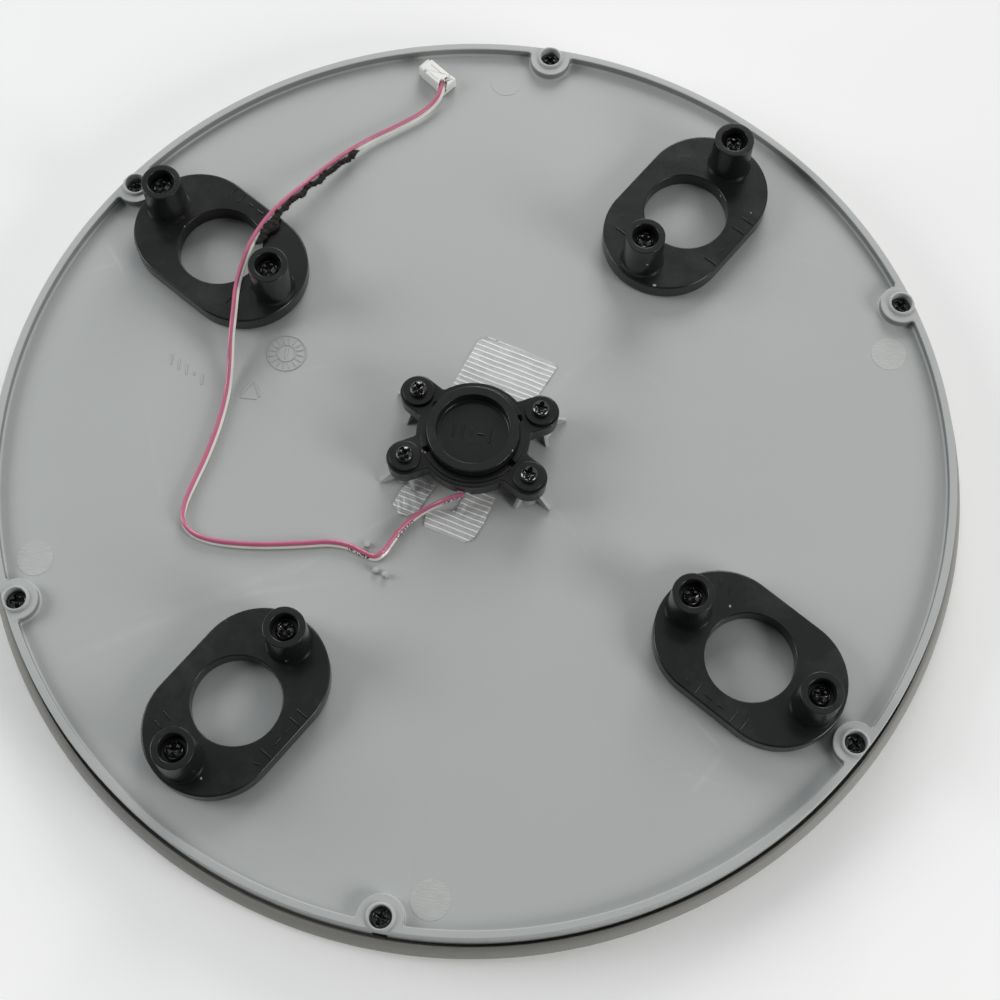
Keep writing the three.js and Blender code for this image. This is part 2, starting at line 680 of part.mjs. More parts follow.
// The room that a hub post and its fins need in a sheet that lies on the panel.
function postRoom(place) {
  const outward = outwardOf(place);
  const [low, high] = [panelTop - clear, hubLow];
  const room = cylinder(hubPostRadius + seatGap, low, high, place);
  const rooms = [[finReach, 0], [sideFinReach, 90], [sideFinReach, -90]].map(([reach, side]) => {
    const size = [reach + seatGap, finThickness + 2 * seatGap, high - low];
    return placed(box(size, [size[0] / 2, 0, (low + high) / 2]), outward + side, place);
  });
  return union([room, ...rooms]);
}

function addTape(number, points) {
  const low = panelTop + tapeGap;
  const sheet = prism(polygon(points), low, low + tapeThickness);
  const cut = sheet.subtract(union(hubScrewPlaces.map(postRoom)));
  addNode(`tape_strip_${number}`, cut, colours.tape, 0.15);
}

// Foam tape stuck along the right-hand side of a stretch of the lead.
function foamStrip(points) {
  const offset = leadWidth / 2 + seatGap + foamWidth / 2;
  const route = points.map(([x, y, z], i) => {
    const before = points[Math.max(i - 1, 0)];
    const after = points[Math.min(i + 1, points.length - 1)];
    const [dx, dy] = [after[0] - before[0], after[1] - before[1]];
    const length = Math.hypot(dx, dy);
    return new THREE.Vector3(x + (dy / length) * offset, y - (dx / length) * offset, z + foamLift);
  });
  const outline = polygon([[-foamWidth / 2, -foamHeight / 2], [foamWidth / 2, -foamHeight / 2],
    [foamWidth / 2, foamHeight / 2], [-foamWidth / 2, foamHeight / 2]]);
  const extrudePath = new LevelCurve(route);
  return solid(new THREE.ExtrudeGeometry(outline, { steps: foamSteps, extrudePath }));
}

// ---- the whole object ----
addNode('platform_shell', platformShell(), colours.shell, 0.6);
addNode('platform_mat', platformMat(), colours.mat, 0.8);
addDisplay();
addNode('chassis_tray', chassisTray(), colours.tray, 0.55);
rimScrewPlaces.forEach((place, i) => {
  addNode(`rim_screw_${i + 1}`, screw(rimShankLength, rimSeat, place), colours.screw, 0.3, 0.8);
});
footAngles.forEach((angle, i) => addFoot(i + 1, angle, footPlaces[i]));
addHub();
addNode('sensor_lead', leadTube(leadPoints), colours.pink, 0.5);
addConnector();
addNode('lead_foam', foamStrip(leadPoints.slice(foamStart, foamEnd + 1)), colours.foam, 0.95);
tapeOutlines.forEach((outline, i) => addTape(i + 1, outline));

export default model;
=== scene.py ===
import bmesh
import bpy
import numpy as np
from math import cos, pi, radians, sin
from mathutils import Matrix, Vector


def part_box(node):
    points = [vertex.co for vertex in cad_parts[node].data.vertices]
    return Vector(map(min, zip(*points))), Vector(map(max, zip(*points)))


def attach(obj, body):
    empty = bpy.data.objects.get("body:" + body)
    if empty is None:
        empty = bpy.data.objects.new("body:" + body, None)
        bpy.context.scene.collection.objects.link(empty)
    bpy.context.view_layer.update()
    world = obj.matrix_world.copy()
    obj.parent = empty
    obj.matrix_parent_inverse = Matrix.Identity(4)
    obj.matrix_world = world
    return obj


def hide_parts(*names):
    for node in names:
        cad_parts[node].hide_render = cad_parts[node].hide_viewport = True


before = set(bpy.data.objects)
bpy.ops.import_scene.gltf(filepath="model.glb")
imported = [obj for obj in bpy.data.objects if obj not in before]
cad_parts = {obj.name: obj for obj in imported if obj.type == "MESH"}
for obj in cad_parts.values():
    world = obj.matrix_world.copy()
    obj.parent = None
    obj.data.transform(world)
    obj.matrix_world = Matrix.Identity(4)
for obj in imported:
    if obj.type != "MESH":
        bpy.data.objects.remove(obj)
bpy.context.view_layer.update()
print("frame loaded")

# Lengths below are millimetres; meshObject turns them into metres.
rimTop = 15.0
panelTop = 12.0


def middleOf(node):  # the middle of a frame node, in millimetres
    low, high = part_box(node)
    return [(low[i] + high[i]) * 500 for i in range(3)]


def topOf(node):
    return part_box(node)[1][2] * 1000


# ---- camera ----
camera = {"turn": 9.597, "tilt": 68.548, "roll": 0.43, "place": (0.03944, -0.18859, 0.46461), "lens": 63.62}


def aimCamera(view):
    turn, tilt, roll = radians(view["turn"]), radians(view["tilt"]), radians(view["roll"])
    back = Vector((sin(turn) * cos(tilt), -cos(turn) * cos(tilt), sin(tilt)))
    right = (-back).cross(Vector((0, 0, 1))).normalized()
    up = right.cross(-back)
    levelled = Matrix((right * cos(roll) + up * sin(roll), up * cos(roll) - right * sin(roll), back))
    lens = bpy.data.cameras.new("camera")
    lens.lens = view["lens"]
    lens.sensor_width = 36
    lens.clip_start, lens.clip_end = 0.02, 20
    body = bpy.data.objects.new("camera", lens)
    body.matrix_world = Matrix.Translation(view["place"]) @ levelled.transposed().to_4x4()
    bpy.context.scene.collection.objects.link(body)
    bpy.context.scene.camera = body


aimCamera(camera)
print("camera set")


# ---- shader building ----
def put(tree, kind, inputs=None, **settings):
    node = tree.nodes.new(kind)
    for name, value in settings.items():
        setattr(node, name, value)
    for name, value in (inputs or {}).items():
        if isinstance(value, bpy.types.NodeSocket):
            tree.links.new(value, node.inputs[name])
        else:
            node.inputs[name].default_value = value
    return node


def sums(tree, operation, *values, clamp=False):  # one Math node; values are numbers or sockets
    node = tree.nodes.new("ShaderNodeMath")
    node.operation, node.use_clamp = operation, clamp
    for i, value in enumerate(values):
        if isinstance(value, bpy.types.NodeSocket):
            tree.links.new(value, node.inputs[i])
        else:
            node.inputs[i].default_value = value
    return node.outputs[0]


def newGroup(name, inputs, outputs):
    group = bpy.data.node_groups.new(name, "ShaderNodeTree")
    for label, kind, value in inputs:
        group.interface.new_socket(name=label, in_out="INPUT", socket_type=kind).default_value = value
    for label in outputs:
        group.interface.new_socket(name=label, in_out="OUTPUT", socket_type="NodeSocketFloat")
    return group, group.nodes.new("NodeGroupInput"), group.nodes.new("NodeGroupOutput")


def mouldedGroup():  # soft clouding of a moulding's shade, and its fine surface grain
    group, given, made = newGroup(
        "mouldedSurface",
        [("Cloud Scale", "NodeSocketFloat", 20.0), ("Grain Scale", "NodeSocketFloat", 1500.0)],
        ["Cloud", "Flow", "Grain"],
    )
    spot = put(group, "ShaderNodeTexCoord").outputs["Object"]
    cloud = put(
        group, "ShaderNodeTexNoise", {"Vector": spot, "Scale": given.outputs["Cloud Scale"], "Detail": 3.0}
    )
    stretched = put(
        group, "ShaderNodeMapping", {"Vector": spot, "Rotation": (0, 0, 0.7), "Scale": (1, 4.5, 1)}
    )
    flow = put(
        group, "ShaderNodeTexNoise",
        {
            "Vector": stretched.outputs[0], "Scale": given.outputs["Cloud Scale"], "Detail": 4.0,
            "Distortion": 0.6
        },
    )
    grain = put(
        group, "ShaderNodeTexNoise", {"Vector": spot, "Scale": given.outputs["Grain Scale"], "Detail": 2.0}
    )
    for name, node in (("Cloud", cloud), ("Flow", flow), ("Grain", grain)):
        group.links.new(node.outputs["Fac"], made.inputs[name])
    return group


def dustGroup():  # scattered specks: cells whose random shade passes the share, drawn as small dots
    group, given, made = newGroup(
        "dustSpecks",
        [
            ("Scale", "NodeSocketFloat", 260.0), ("Share", "NodeSocketFloat", 0.05),
            ("Size", "NodeSocketFloat", 0.2)
        ],
        ["Specks", "Film"],
    )
    spot = put(group, "ShaderNodeTexCoord").outputs["Object"]
    wobble = put(group, "ShaderNodeTexNoise", {"Vector": spot, "Scale": 900.0}).outputs["Color"]
    bent = put(group, "ShaderNodeMix", {"Factor": 0.0008, "A": spot, "B": wobble}, data_type="VECTOR")
    cell = put(
        group, "ShaderNodeTexVoronoi", {"Vector": bent.outputs["Result"], "Scale": given.outputs["Scale"]}
    )
    pick = put(group, "ShaderNodeSeparateColor", {"Color": cell.outputs["Color"]})
    chosen = sums(group, "LESS_THAN", pick.outputs["Red"], given.outputs["Share"])
    reach = sums(group, "MULTIPLY", given.outputs["Size"], pick.outputs["Green"])
    inside = sums(group, "LESS_THAN", cell.outputs["Distance"], reach)
    group.links.new(sums(group, "MULTIPLY", chosen, inside), made.inputs["Specks"])
    film = put(group, "ShaderNodeTexNoise", {"Vector": spot, "Scale": 55.0, "Detail": 6.0, "Roughness": 0.65})
    spread = put(
        group, "ShaderNodeMapRange", {"Value": film.outputs["Fac"], "From Min": 0.5, "From Max": 0.75}
    )
    group.links.new(spread.outputs[0], made.inputs["Film"])
    return group


def scuffGroup():  # a rubbed line: near the straight run from Start to End, broken up by noise
    group, given, made = newGroup(
        "scuffLine",
        [
            ("Start", "NodeSocketVector", (0, 0, 0)), ("End", "NodeSocketVector", (0.01, 0, 0)),
            ("Width", "NodeSocketFloat", 0.001), ("Strength", "NodeSocketFloat", 0.5),
            ("Waver", "NodeSocketFloat", 0.002),
        ],
        ["Mask"],
    )
    spot = put(group, "ShaderNodeTexCoord").outputs["Object"]
    flat = put(group, "ShaderNodeVectorMath", {0: spot, 1: (1, 1, 0)}, operation="MULTIPLY").outputs[0]
    bend = put(group, "ShaderNodeTexNoise", {"Vector": flat, "Scale": 35.0, "Detail": 1.0}).outputs["Color"]
    bend = put(group, "ShaderNodeVectorMath", {0: bend, 1: (0.5, 0.5, 0.5)}, operation="SUBTRACT").outputs[0]
    bend = put(
        group, "ShaderNodeVectorMath", {0: bend, "Scale": given.outputs["Waver"]}, operation="SCALE"
    ).outputs[0]
    bent = put(group, "ShaderNodeVectorMath", {0: flat, 1: bend}, operation="ADD").outputs[0]
    run = put(
        group, "ShaderNodeVectorMath", {0: given.outputs["End"], 1: given.outputs["Start"]},
        operation="SUBTRACT"
    )
    out = put(group, "ShaderNodeVectorMath", {0: bent, 1: given.outputs["Start"]}, operation="SUBTRACT")
    along = put(
        group, "ShaderNodeVectorMath", {0: out.outputs[0], 1: run.outputs[0]}, operation="DOT_PRODUCT"
    )
    whole = put(
        group, "ShaderNodeVectorMath", {0: run.outputs[0], 1: run.outputs[0]}, operation="DOT_PRODUCT"
    )
    share = sums(group, "DIVIDE", along.outputs["Value"], whole.outputs["Value"], clamp=True)
    foot = put(group, "ShaderNodeVectorMath", {0: run.outputs[0], "Scale": share}, operation="SCALE")
    off = put(group, "ShaderNodeVectorMath", {0: out.outputs[0], 1: foot.outputs[0]}, operation="DISTANCE")
    near = put(
        group, "ShaderNodeMapRange",
        {
            "Value": off.outputs["Value"], "From Min": 0.0, "From Max": given.outputs["Width"], "To Min": 1.0,
            "To Max": 0.0
        },
        interpolation_type="SMOOTHSTEP",
    )
    broken = put(
        group, "ShaderNodeTexNoise", {"Vector": spot, "Scale": 110.0, "Detail": 6.0, "Roughness": 0.7}
    ).outputs["Fac"]
    broken = put(
        group, "ShaderNodeMapRange", {"Value": broken, "From Min": 0.34, "From Max": 0.66}
    ).outputs[0]
    # nothing at either end, most halfway
    left = sums(group, "MULTIPLY", share, sums(group, "SUBTRACT", 1.0, share))
    ends = sums(group, "POWER", sums(group, "MULTIPLY", left, 4.0), 0.6)
    fade = sums(group, "MULTIPLY", sums(group, "MULTIPLY", near.outputs[0], ends), given.outputs["Strength"])
    group.links.new(sums(group, "MULTIPLY", fade, broken), made.inputs["Mask"])
    return group


moulded, dusty, scuffed = mouldedGroup(), dustGroup(), scuffGroup()


def useGroup(tree, group, **values):
    node = tree.nodes.new("ShaderNodeGroup")
    node.node_tree = group
    for name, value in values.items():
        node.inputs[name.replace("_", " ")].default_value = value
    return node


def shaded(tree, colour, factor, amount):  # colour times 1 + amount * (factor - 0.5)
    swing = sums(tree, "MULTIPLY_ADD", factor, amount, 1 - amount / 2)
    return put(tree, "ShaderNodeVectorMath", {0: colour, "Scale": swing}, operation="SCALE").outputs[0]


def newMaterial(name, **fixed):  # a Principled material; fixed values go straight on its sockets
    material = bpy.data.materials.new(name)
    material.use_nodes = True
    tree = material.node_tree
    shader = tree.nodes["Principled BSDF"]
    for label, value in fixed.items():
        shader.inputs[label.replace("_", " ")].default_value = value
    return material, tree, shader


def plasticMaterial(name, look, **fixed):
    material, tree, shader = newMaterial(name, **fixed)
    surface = useGroup(tree, moulded, Cloud_Scale=look["cloudScale"], Grain_Scale=look["grainScale"])
    base = put(tree, "ShaderNodeRGB")
    base.outputs[0].default_value = (*look["colour"], 1)
    colour = shaded(tree, base.outputs[0], surface.outputs["Cloud"], look["cloud"])
    rough = sums(tree, "MULTIPLY_ADD", surface.outputs["Flow"], look["roughSwing"], look["roughness"])
    if look.get("dust"):
        dust = useGroup(tree, dusty, Scale=look["dustScale"], Share=look["dustShare"], Size=look["dustSize"])
        film = sums(tree, "MULTIPLY", dust.outputs["Film"], look["film"])
        cover = sums(tree, "MULTIPLY_ADD", dust.outputs["Specks"], look["dust"], film, clamp=True)
        mixed = put(
            tree, "ShaderNodeMix", {"Factor": cover, "A": colour, "B": (0.55, 0.55, 0.53, 1)},
            data_type="RGBA"
        )
        colour = mixed.outputs["Result"]
        rough = sums(tree, "MULTIPLY_ADD", film, 1.2, rough, clamp=True)
    bump = put(
        tree, "ShaderNodeBump",
        {"Height": surface.outputs["Grain"], "Strength": look["bump"], "Distance": 0.0001}
    )
    tree.links.new(colour, shader.inputs["Base Color"])
    tree.links.new(rough, shader.inputs["Roughness"])
    tree.links.new(bump.outputs[0], shader.inputs["Normal"])
    return material, tree, shader


# ---- mesh building: grids of points, whole arrays at a time ----
def gridFaces(rows, cols, wrapRows, wrapCols):  # quads between neighbouring rows and columns
    r, c = np.meshgrid(np.arange(rows - (not wrapRows)), np.arange(cols - (not wrapCols)), indexing="ij")
    r2, c2 = (r + 1) % rows, (c + 1) % cols
    return np.stack([r * cols + c, r * cols + c2, r2 * cols + c2, r2 * cols + c], -1).reshape(-1, 4)


def skin(grid, wrapRows=False, wrapCols=True, finish=0):
    rows, cols = grid.shape[:2]
    return {
        "points": grid.reshape(-1, 3), "faces": [gridFaces(rows, cols, wrapRows, wrapCols)], "finish": finish
    }


def circleLine(radius, sides=96, at=(0, 0)):
    a = np.linspace(0, 2 * pi, sides, endpoint=False)
    return np.stack([at[0] + radius * np.cos(a), at[1] + radius * np.sin(a)], -1)


def softened(corners, radii, steps=4, closed=True):
    # each corner becomes (1-t)^2 * before + 2t(1-t) * corner + t^2 * after, radius away on either side
    corners = np.asarray(corners, float)
    radii = np.broadcast_to(np.asarray(radii, float), len(corners)).copy()
    if not closed:
        radii[[0, -1]] = 0
    before, after = np.roll(corners, 1, 0) - corners, np.roll(corners, -1, 0) - corners
    unit = lambda v: v / np.maximum(np.linalg.norm(v, axis=1), 1e-9)[:, None]
    start, end = corners + unit(before) * radii[:, None], corners + unit(after) * radii[:, None]
    t = np.linspace(0, 1, steps + 1)[None, :, None]
    curve = (1 - t) ** 2 * start[:, None] + 2 * t * (1 - t) * corners[:, None] + t**2 * end[:, None]
    line = curve.reshape(-1, corners.shape[1])
    keep = np.linalg.norm(line - np.roll(line, 1, 0), axis=1) > 1e-6
    keep[0] = keep[0] or not closed
    return line[keep]


def turned(profile, sides=96, finish=0, wrap=False):  # (r cos a, r sin a, z) for a profile of [r, z]
    profile = np.asarray(profile, float)
    a = np.linspace(0, 2 * pi, sides, endpoint=False)
    radius, height = profile[:, :1], np.broadcast_to(profile[:, 1:], (len(profile), sides))
    return skin(np.stack([radius * np.cos(a), radius * np.sin(a), height], -1), wrapRows=wrap, finish=finish)


def outwards(outline):  # the mitred outward normal at each point of an anticlockwise outline
    edge = np.roll(outline, -1, 0) - outline
    side = np.stack([edge[:, 1], -edge[:, 0]], -1) / np.maximum(np.linalg.norm(edge, axis=1), 1e-9)[:, None]
    last = np.roll(side, 1, 0)
    return (side + last) / np.maximum(1 + (side * last).sum(1), 0.3)[:, None]


def rowsOf(outline, profile):  # the outline moved out by profile's first value and up to its second
    profile = np.asarray(profile, float)
    flat = outline[None] + outwards(outline)[None] * profile[:, 0][:, None, None]
    height = np.broadcast_to(profile[:, 1][:, None, None], (len(profile), len(outline), 1))
    return np.concatenate([flat, height], -1)


def capped(grid, finish=0):  # a tube of closed rows with one flat face over each end
    made = skin(grid, finish=finish)
    rows, cols = grid.shape[:2]
    ends = [np.arange(cols)[::-1][None], (np.arange(cols) + (rows - 1) * cols)[None]]
    made["faces"] += ends
    return made


def slab(outline, low, high, edge=0.2, lowEdge=0.0, finish=0):  # an outline stood up, with its rims rounded
    a = np.linspace(0, pi / 2, 4)
    foot = [[-lowEdge * (1 - sin(t)), low + lowEdge * (1 - cos(t))] for t in a] if lowEdge else [[0, low]]
    head = [[-edge * (1 - cos(t)), high - edge * (1 - sin(t))] for t in a]
    return capped(rowsOf(np.asarray(outline, float), foot + head), finish)


def placed(surface, degrees=0.0, at=(0, 0, 0)):  # turned about Z, then moved
    a = radians(degrees)
    spin = np.array([[cos(a), sin(a), 0], [-sin(a), cos(a), 0], [0, 0, 1]])
    at = np.array([*at, 0][:3], float)
    return {**surface, "points": surface["points"] @ spin + at}


def standing(surface):  # the slab's plan becomes an upright plate: x along, y up, thickness across
    x, y, z = surface["points"].T
    return {**surface, "points": np.stack([x, -z, y], -1)}


def meshObject(name, surfaces, finishes, sharp=32, attributes=None):
    points = np.concatenate([s["points"] for s in surfaces]) * 0.001
    starts = np.cumsum([0] + [len(s["points"]) for s in surfaces])
    faces, picks = [], []
    for surface, start in zip(surfaces, starts):
        for block in surface["faces"]:
            faces.append(block + start)
        count = sum(len(block) for block in surface["faces"])
        picks.append(np.broadcast_to(surface["finish"], (count,)) if np.ndim(surface["finish"]) == 0
                     else np.resize(surface["finish"], count))
    sizes = np.concatenate([np.full(len(block), block.shape[1]) for block in faces])
    corners = np.concatenate([block.ravel() for block in faces])
    mesh = bpy.data.meshes.new(name)
    mesh.vertices.add(len(points))
    mesh.vertices.foreach_set("co", points.astype(np.float32).ravel())
    mesh.loops.add(len(corners))
    mesh.loops.foreach_set("vertex_index", corners.astype(np.int32))
    mesh.polygons.add(len(sizes))
    mesh.polygons.foreach_set("loop_start", (np.cumsum(sizes) - sizes).astype(np.int32))
    mesh.polygons.foreach_set("material_index", np.concatenate(picks).astype(np.int32))
    mesh.update(calc_edges=True)
    for label, values in (attributes or {}).items():
        mesh.attributes.new(label, "FLOAT", "POINT").data.foreach_set("value", values.astype(np.float32))
    for finish in finishes:
        mesh.materials.append(finish)
    tidyMesh(mesh, sharp)
    piece = bpy.data.objects.new(name, mesh)
    bpy.context.scene.collection.objects.link(piece)
    return flatShaded(piece)


def flatShaded(piece):  # wide flat faces keep their own shade, and only the roundings between them blend
    weigh = piece.modifiers.new("flatFaces", "WEIGHTED_NORMAL")
    weigh.mode, weigh.weight, weigh.keep_sharp = "FACE_AREA", 50, True
    return piece


def tidyMesh(mesh, sharp):  # seams and poles merged, faces outwards, smooth except at sharp edges
    work = bmesh.new()
    work.from_mesh(mesh)
    bmesh.ops.remove_doubles(work, verts=work.verts, dist=2e-7)
    bmesh.ops.recalc_face_normals(work, faces=work.faces)
    work.to_mesh(mesh)
    work.free()
    mesh.polygons.foreach_set("use_smooth", np.ones(len(mesh.polygons), bool))
    mesh.set_sharp_from_angle(angle=radians(sharp))


def carved(piece, cutters, sharp=32):  # the cutters taken out of the piece
    tool = meshObject(piece.name + "Cutter", cutters, [])
    tool.modifiers.clear()
    piece.modifiers.clear()
    cut = piece.modifiers.new("cut", "BOOLEAN")
    cut.operation, cut.solver, cut.object = "DIFFERENCE", "MANIFOLD", tool
    solved = bpy.data.meshes.new_from_object(piece.evaluated_get(bpy.context.evaluated_depsgraph_get()))
    piece.modifiers.clear()
    piece.data = solved
    solved.polygons.foreach_set("use_smooth", np.ones(len(solved.polygons), bool))
    solved.set_sharp_from_angle(angle=radians(sharp))
    bpy.data.objects.remove(tool)
    return flatShaded(piece)


def settle(piece, body, nodes):  # what the piece moves with, and the frame pieces it stands for, which are hidden
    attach(piece, body)
    if nodes:
        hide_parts(*nodes)
    return piece


def stroke(start, end, width, low, high, finish=0):  # a short raised bar with round ends
    start, end = np.array(start, float), np.array(end, float)
    run = end - start
    length, turn = np.hypot(*run), np.arctan2(run[1], run[0])
    a = np.linspace(-pi / 2, pi / 2, 7)
    right = np.stack([length / 2 + width / 2 * np.cos(a), width / 2 * np.sin(a)], -1)
    bar = slab(np.concatenate([right, -right]), low, high, edge=min(width, high - low) * 0.45, finish=finish)
    return placed(bar, np.degrees(turn), (start + end) / 2)


def waves(shape, turns, seed):  # smooth wandering values from -1 to 1 over a grid, sums of seeded sine waves
    draw = np.random.default_rng(seed)
    u, v = np.meshgrid(*[np.linspace(0, 1, n) for n in shape], indexing="ij")
    total = np.zeros(shape)
    for part in range(8):
        fu, fv = draw.integers(1, turns[0] + 1), draw.integers(0, turns[1] + 1)
        total += np.sin(2 * pi * (fu * u + fv * v + draw.random())) / 8**0.5
    return total.clip(-1.6, 1.6)


# ---- sensor lead ----
lead = {
    "width": 2.4, "core": 0.61, "spread": 0.56, "waist": 140, "stations": 520,
    "route": [
        (0.3, -15.9, 17.3), (-2.1, -16.6, 16.9), (-4.6, -17.8, 15.9), (-7.8, -19.3, 14.3),
        (-11.0, -21.6, 13.2),
        (-13.5, -24.4, 12.85), (-15.4, -27.4, 12.75), (-17.2, -31.2, 12.75), (-18.5, -34.2, 12.75),
        (-20.6, -36.1, 12.75), (-23.4, -35.7, 12.75), (-28.0, -34.3, 12.75), (-33.5, -34.2, 12.75),
        (-41.0, -35.9, 12.75), (-50.4, -37.9, 12.75), (-58.6, -39.0, 12.75), (-65.5, -39.2, 12.75),
        (-71.0, -38.0, 12.8), (-74.2, -35.0, 12.9), (-74.9, -30.3, 12.85), (-74.0, -23.8, 12.75),
        (-72.5, -15.8, 12.75), (-71.3, -5.4, 12.75), (-71.2, 4.5, 12.95), (-71.8, 12.0, 14.6),
        (-72.8, 20.0, 17.9),
        (-73.7, 27.7, 18.8), (-74.6, 34.6, 18.8), (-74.6, 41.7, 18.8), (-73.9, 48.6, 18.8),
        (-72.2, 54.8, 18.8),
        (-69.6, 60.8, 18.75), (-64.9, 69.0, 17.6), (-60.1, 77.2, 15.8), (-54.6, 85.2, 14.5),
        (-48.6, 91.9, 13.8),
        (-40.6, 98.7, 13.6), (-34.0, 104.9, 13.8), (-30.9, 110.0, 14.2), (-30.1, 115.6, 14.5),
    ],
    # how far along the route, and where the pink core then lies round the pair, in degrees from its right
    "roll": [
        (0, 92), (0.05, 84), (0.11, 62), (0.27, 58), (0.33, 72), (0.37, 108), (0.45, 118), (0.85, 120),
        (1, 128)
    ],
}


def throughPoints(points, stations):
    # centripetal Catmull-Rom: each span is a cubic between its points,
    # with its end slopes weighed by the square roots of the distances
    p = np.asarray(points, float)
    p = np.concatenate([[2 * p[0] - p[1]], p, [2 * p[-1] - p[-2]]])
    gap = np.maximum(np.linalg.norm(np.diff(p, axis=0), axis=1), 1e-6)[:, None] ** 0.5
    a, b, c, d = p[:-3], p[1:-2], p[2:-1], p[3:]
    before, here, after = gap[:-2], gap[1:-1], gap[2:]
    slopeIn = ((b - a) / before - (c - a) / (before + here) + (c - b) / here) * here
    slopeOut = ((c - b) / here - (d - b) / (here + after) + (d - c) / after) * here
    t = np.linspace(0, 1, 40, endpoint=False)[None, :, None]
    b, c, slopeIn, slopeOut = (v[:, None] for v in (b, c, slopeIn, slopeOut))
    cubic = b + slopeIn * t + (3 * c - 3 * b - 2 * slopeIn - slopeOut) * t**2 + (
        2 * b - 2 * c + slopeIn + slopeOut
    ) * t**3
    line = np.concatenate([cubic.reshape(-1, 3), p[-2:-1]])
    run = np.concatenate([[0], np.cumsum(np.linalg.norm(np.diff(line, axis=0), axis=1))])
    even = np.linspace(0, run[-1], stations)
    return np.stack([np.interp(even, run, line[:, i]) for i in range(3)], -1), run[-1]


def levelFrame(line):  # at each point: forwards, level to the right, and up from both
    ahead = np.gradient(line, axis=0)
    ahead /= np.linalg.norm(ahead, axis=1)[:, None]
    right = np.cross(ahead, [0, 0, 1])
    right /= np.linalg.norm(right, axis=1)[:, None]
    return ahead, right, np.cross(right, ahead)


leadLine, leadLength = throughPoints(lead["route"], lead["stations"])
leadShare = np.linspace(0, 1, lead["stations"])
leadRoll = np.radians(np.interp(leadShare, *zip(*lead["roll"])))
leadRoll = np.convolve(np.pad(leadRoll, 12, mode="edge"), np.ones(25) / 25, mode="valid")
# tipped up, the pair stands higher
leadLine[:, 2] += np.minimum(lead["spread"] * np.abs(np.sin(leadRoll)), 0.45)


def leadSkin(spec, line, roll):
    # two circles side by side, joined by a web at the waist angle;
    # the pair is turned by roll and carried along the line
    half = np.radians(np.linspace(-spec["waist"], spec["waist"], 15))
    core = np.stack([spec["spread"] + spec["core"] * np.cos(half), spec["core"] * np.sin(half)], -1)
    outline = np.concatenate([core, -core])
    _, right, up = levelFrame(line)
    wide = right * np.cos(roll)[:, None] + up * np.sin(roll)[:, None]
    tall = up * np.cos(roll)[:, None] - right * np.sin(roll)[:, None]
    grid = line[:, None] + wide[:, None] * outline[None, :, :1] + tall[:, None] * outline[None, :, 1:]
    surface = capped(grid)
    aroundSide = (np.arange(len(outline)) >= len(core)).astype(int)
    surface["finish"] = np.concatenate([np.tile(aroundSide, len(line) - 1), [0, 0]])
    return surface, len(outline)


def leadMaterial(name, colour, dashes):
    material, tree, shader = newMaterial(name, Coat_Weight=0.8, Coat_Roughness=0.1, Subsurface_Weight=0.06)
    shader.inputs["Subsurface Radius"].default_value = (0.0012, 0.0006, 0.0005)
    along = put(tree, "ShaderNodeAttribute", attribute_name="along").outputs["Fac"]
    surface = useGroup(tree, moulded, Cloud_Scale=160.0, Grain_Scale=2600.0)
    base = put(tree, "ShaderNodeRGB")
    base.outputs[0].default_value = (*colour, 1)
    shade = shaded(tree, base.outputs[0], surface.outputs["Cloud"], 0.22)
    if dashes:  # short print marks, each a run along the core broken by noise, near the sensor's end
        beat = sums(tree, "FRACT", sums(tree, "MULTIPLY", along, 62.0))
        mark = sums(tree, "LESS_THAN", beat, 0.42)
        early = sums(tree, "LESS_THAN", along, 0.045)
        ink = put(
            tree, "ShaderNodeTexNoise",
            {"Scale": 1900.0, "Detail": 1.0, "Vector": put(tree, "ShaderNodeTexCoord").outputs["Object"]}
        )
        broken = sums(tree, "GREATER_THAN", ink.outputs["Fac"], 0.5)
        mask = sums(tree, "MULTIPLY", sums(tree, "MULTIPLY", mark, early), broken)
        shade = put(
            tree, "ShaderNodeMix", {"Factor": mask, "A": shade, "B": (0.03, 0.03, 0.03, 1)}, data_type="RGBA"
        ).outputs["Result"]
    tree.links.new(shade, shader.inputs["Base Color"])
    tree.links.new(
        sums(tree, "MULTIPLY_ADD", surface.outputs["Flow"], 0.15, 0.32), shader.inputs["Roughness"]
    )
    bump = put(
        tree, "ShaderNodeBump", {"Height": surface.outputs["Grain"], "Strength": 0.12, "Distance": 0.0001}
    )
    tree.links.new(bump.outputs[0], shader.inputs["Normal"])
    return material


leadSurface, leadAround = leadSkin(lead, leadLine, leadRoll)
alongRoute = np.repeat(leadShare * leadLength * 0.001, leadAround)
leadPink = leadMaterial("leadPink", (0.53, 0.125, 0.225), False)
leadWhite = leadMaterial("leadWhite", (0.80, 0.78, 0.74), True)
sensorLead = meshObject(
    "sensorLead", [leadSurface], [leadPink, leadWhite], sharp=50, attributes={"along": alongRoute}
)
settle(sensorLead, "chassis", ["sensor_lead"])
print("lead laid:", round(leadLength, 1), "mm")

# ---- torn foam tape along the lead ----
foam = {
    "from": 0.68, "to": 0.862, "side": 1.35, "width": 0.78, "height": 0.72, "stations": 260, "around": 30,
    "fibres": 1500
}


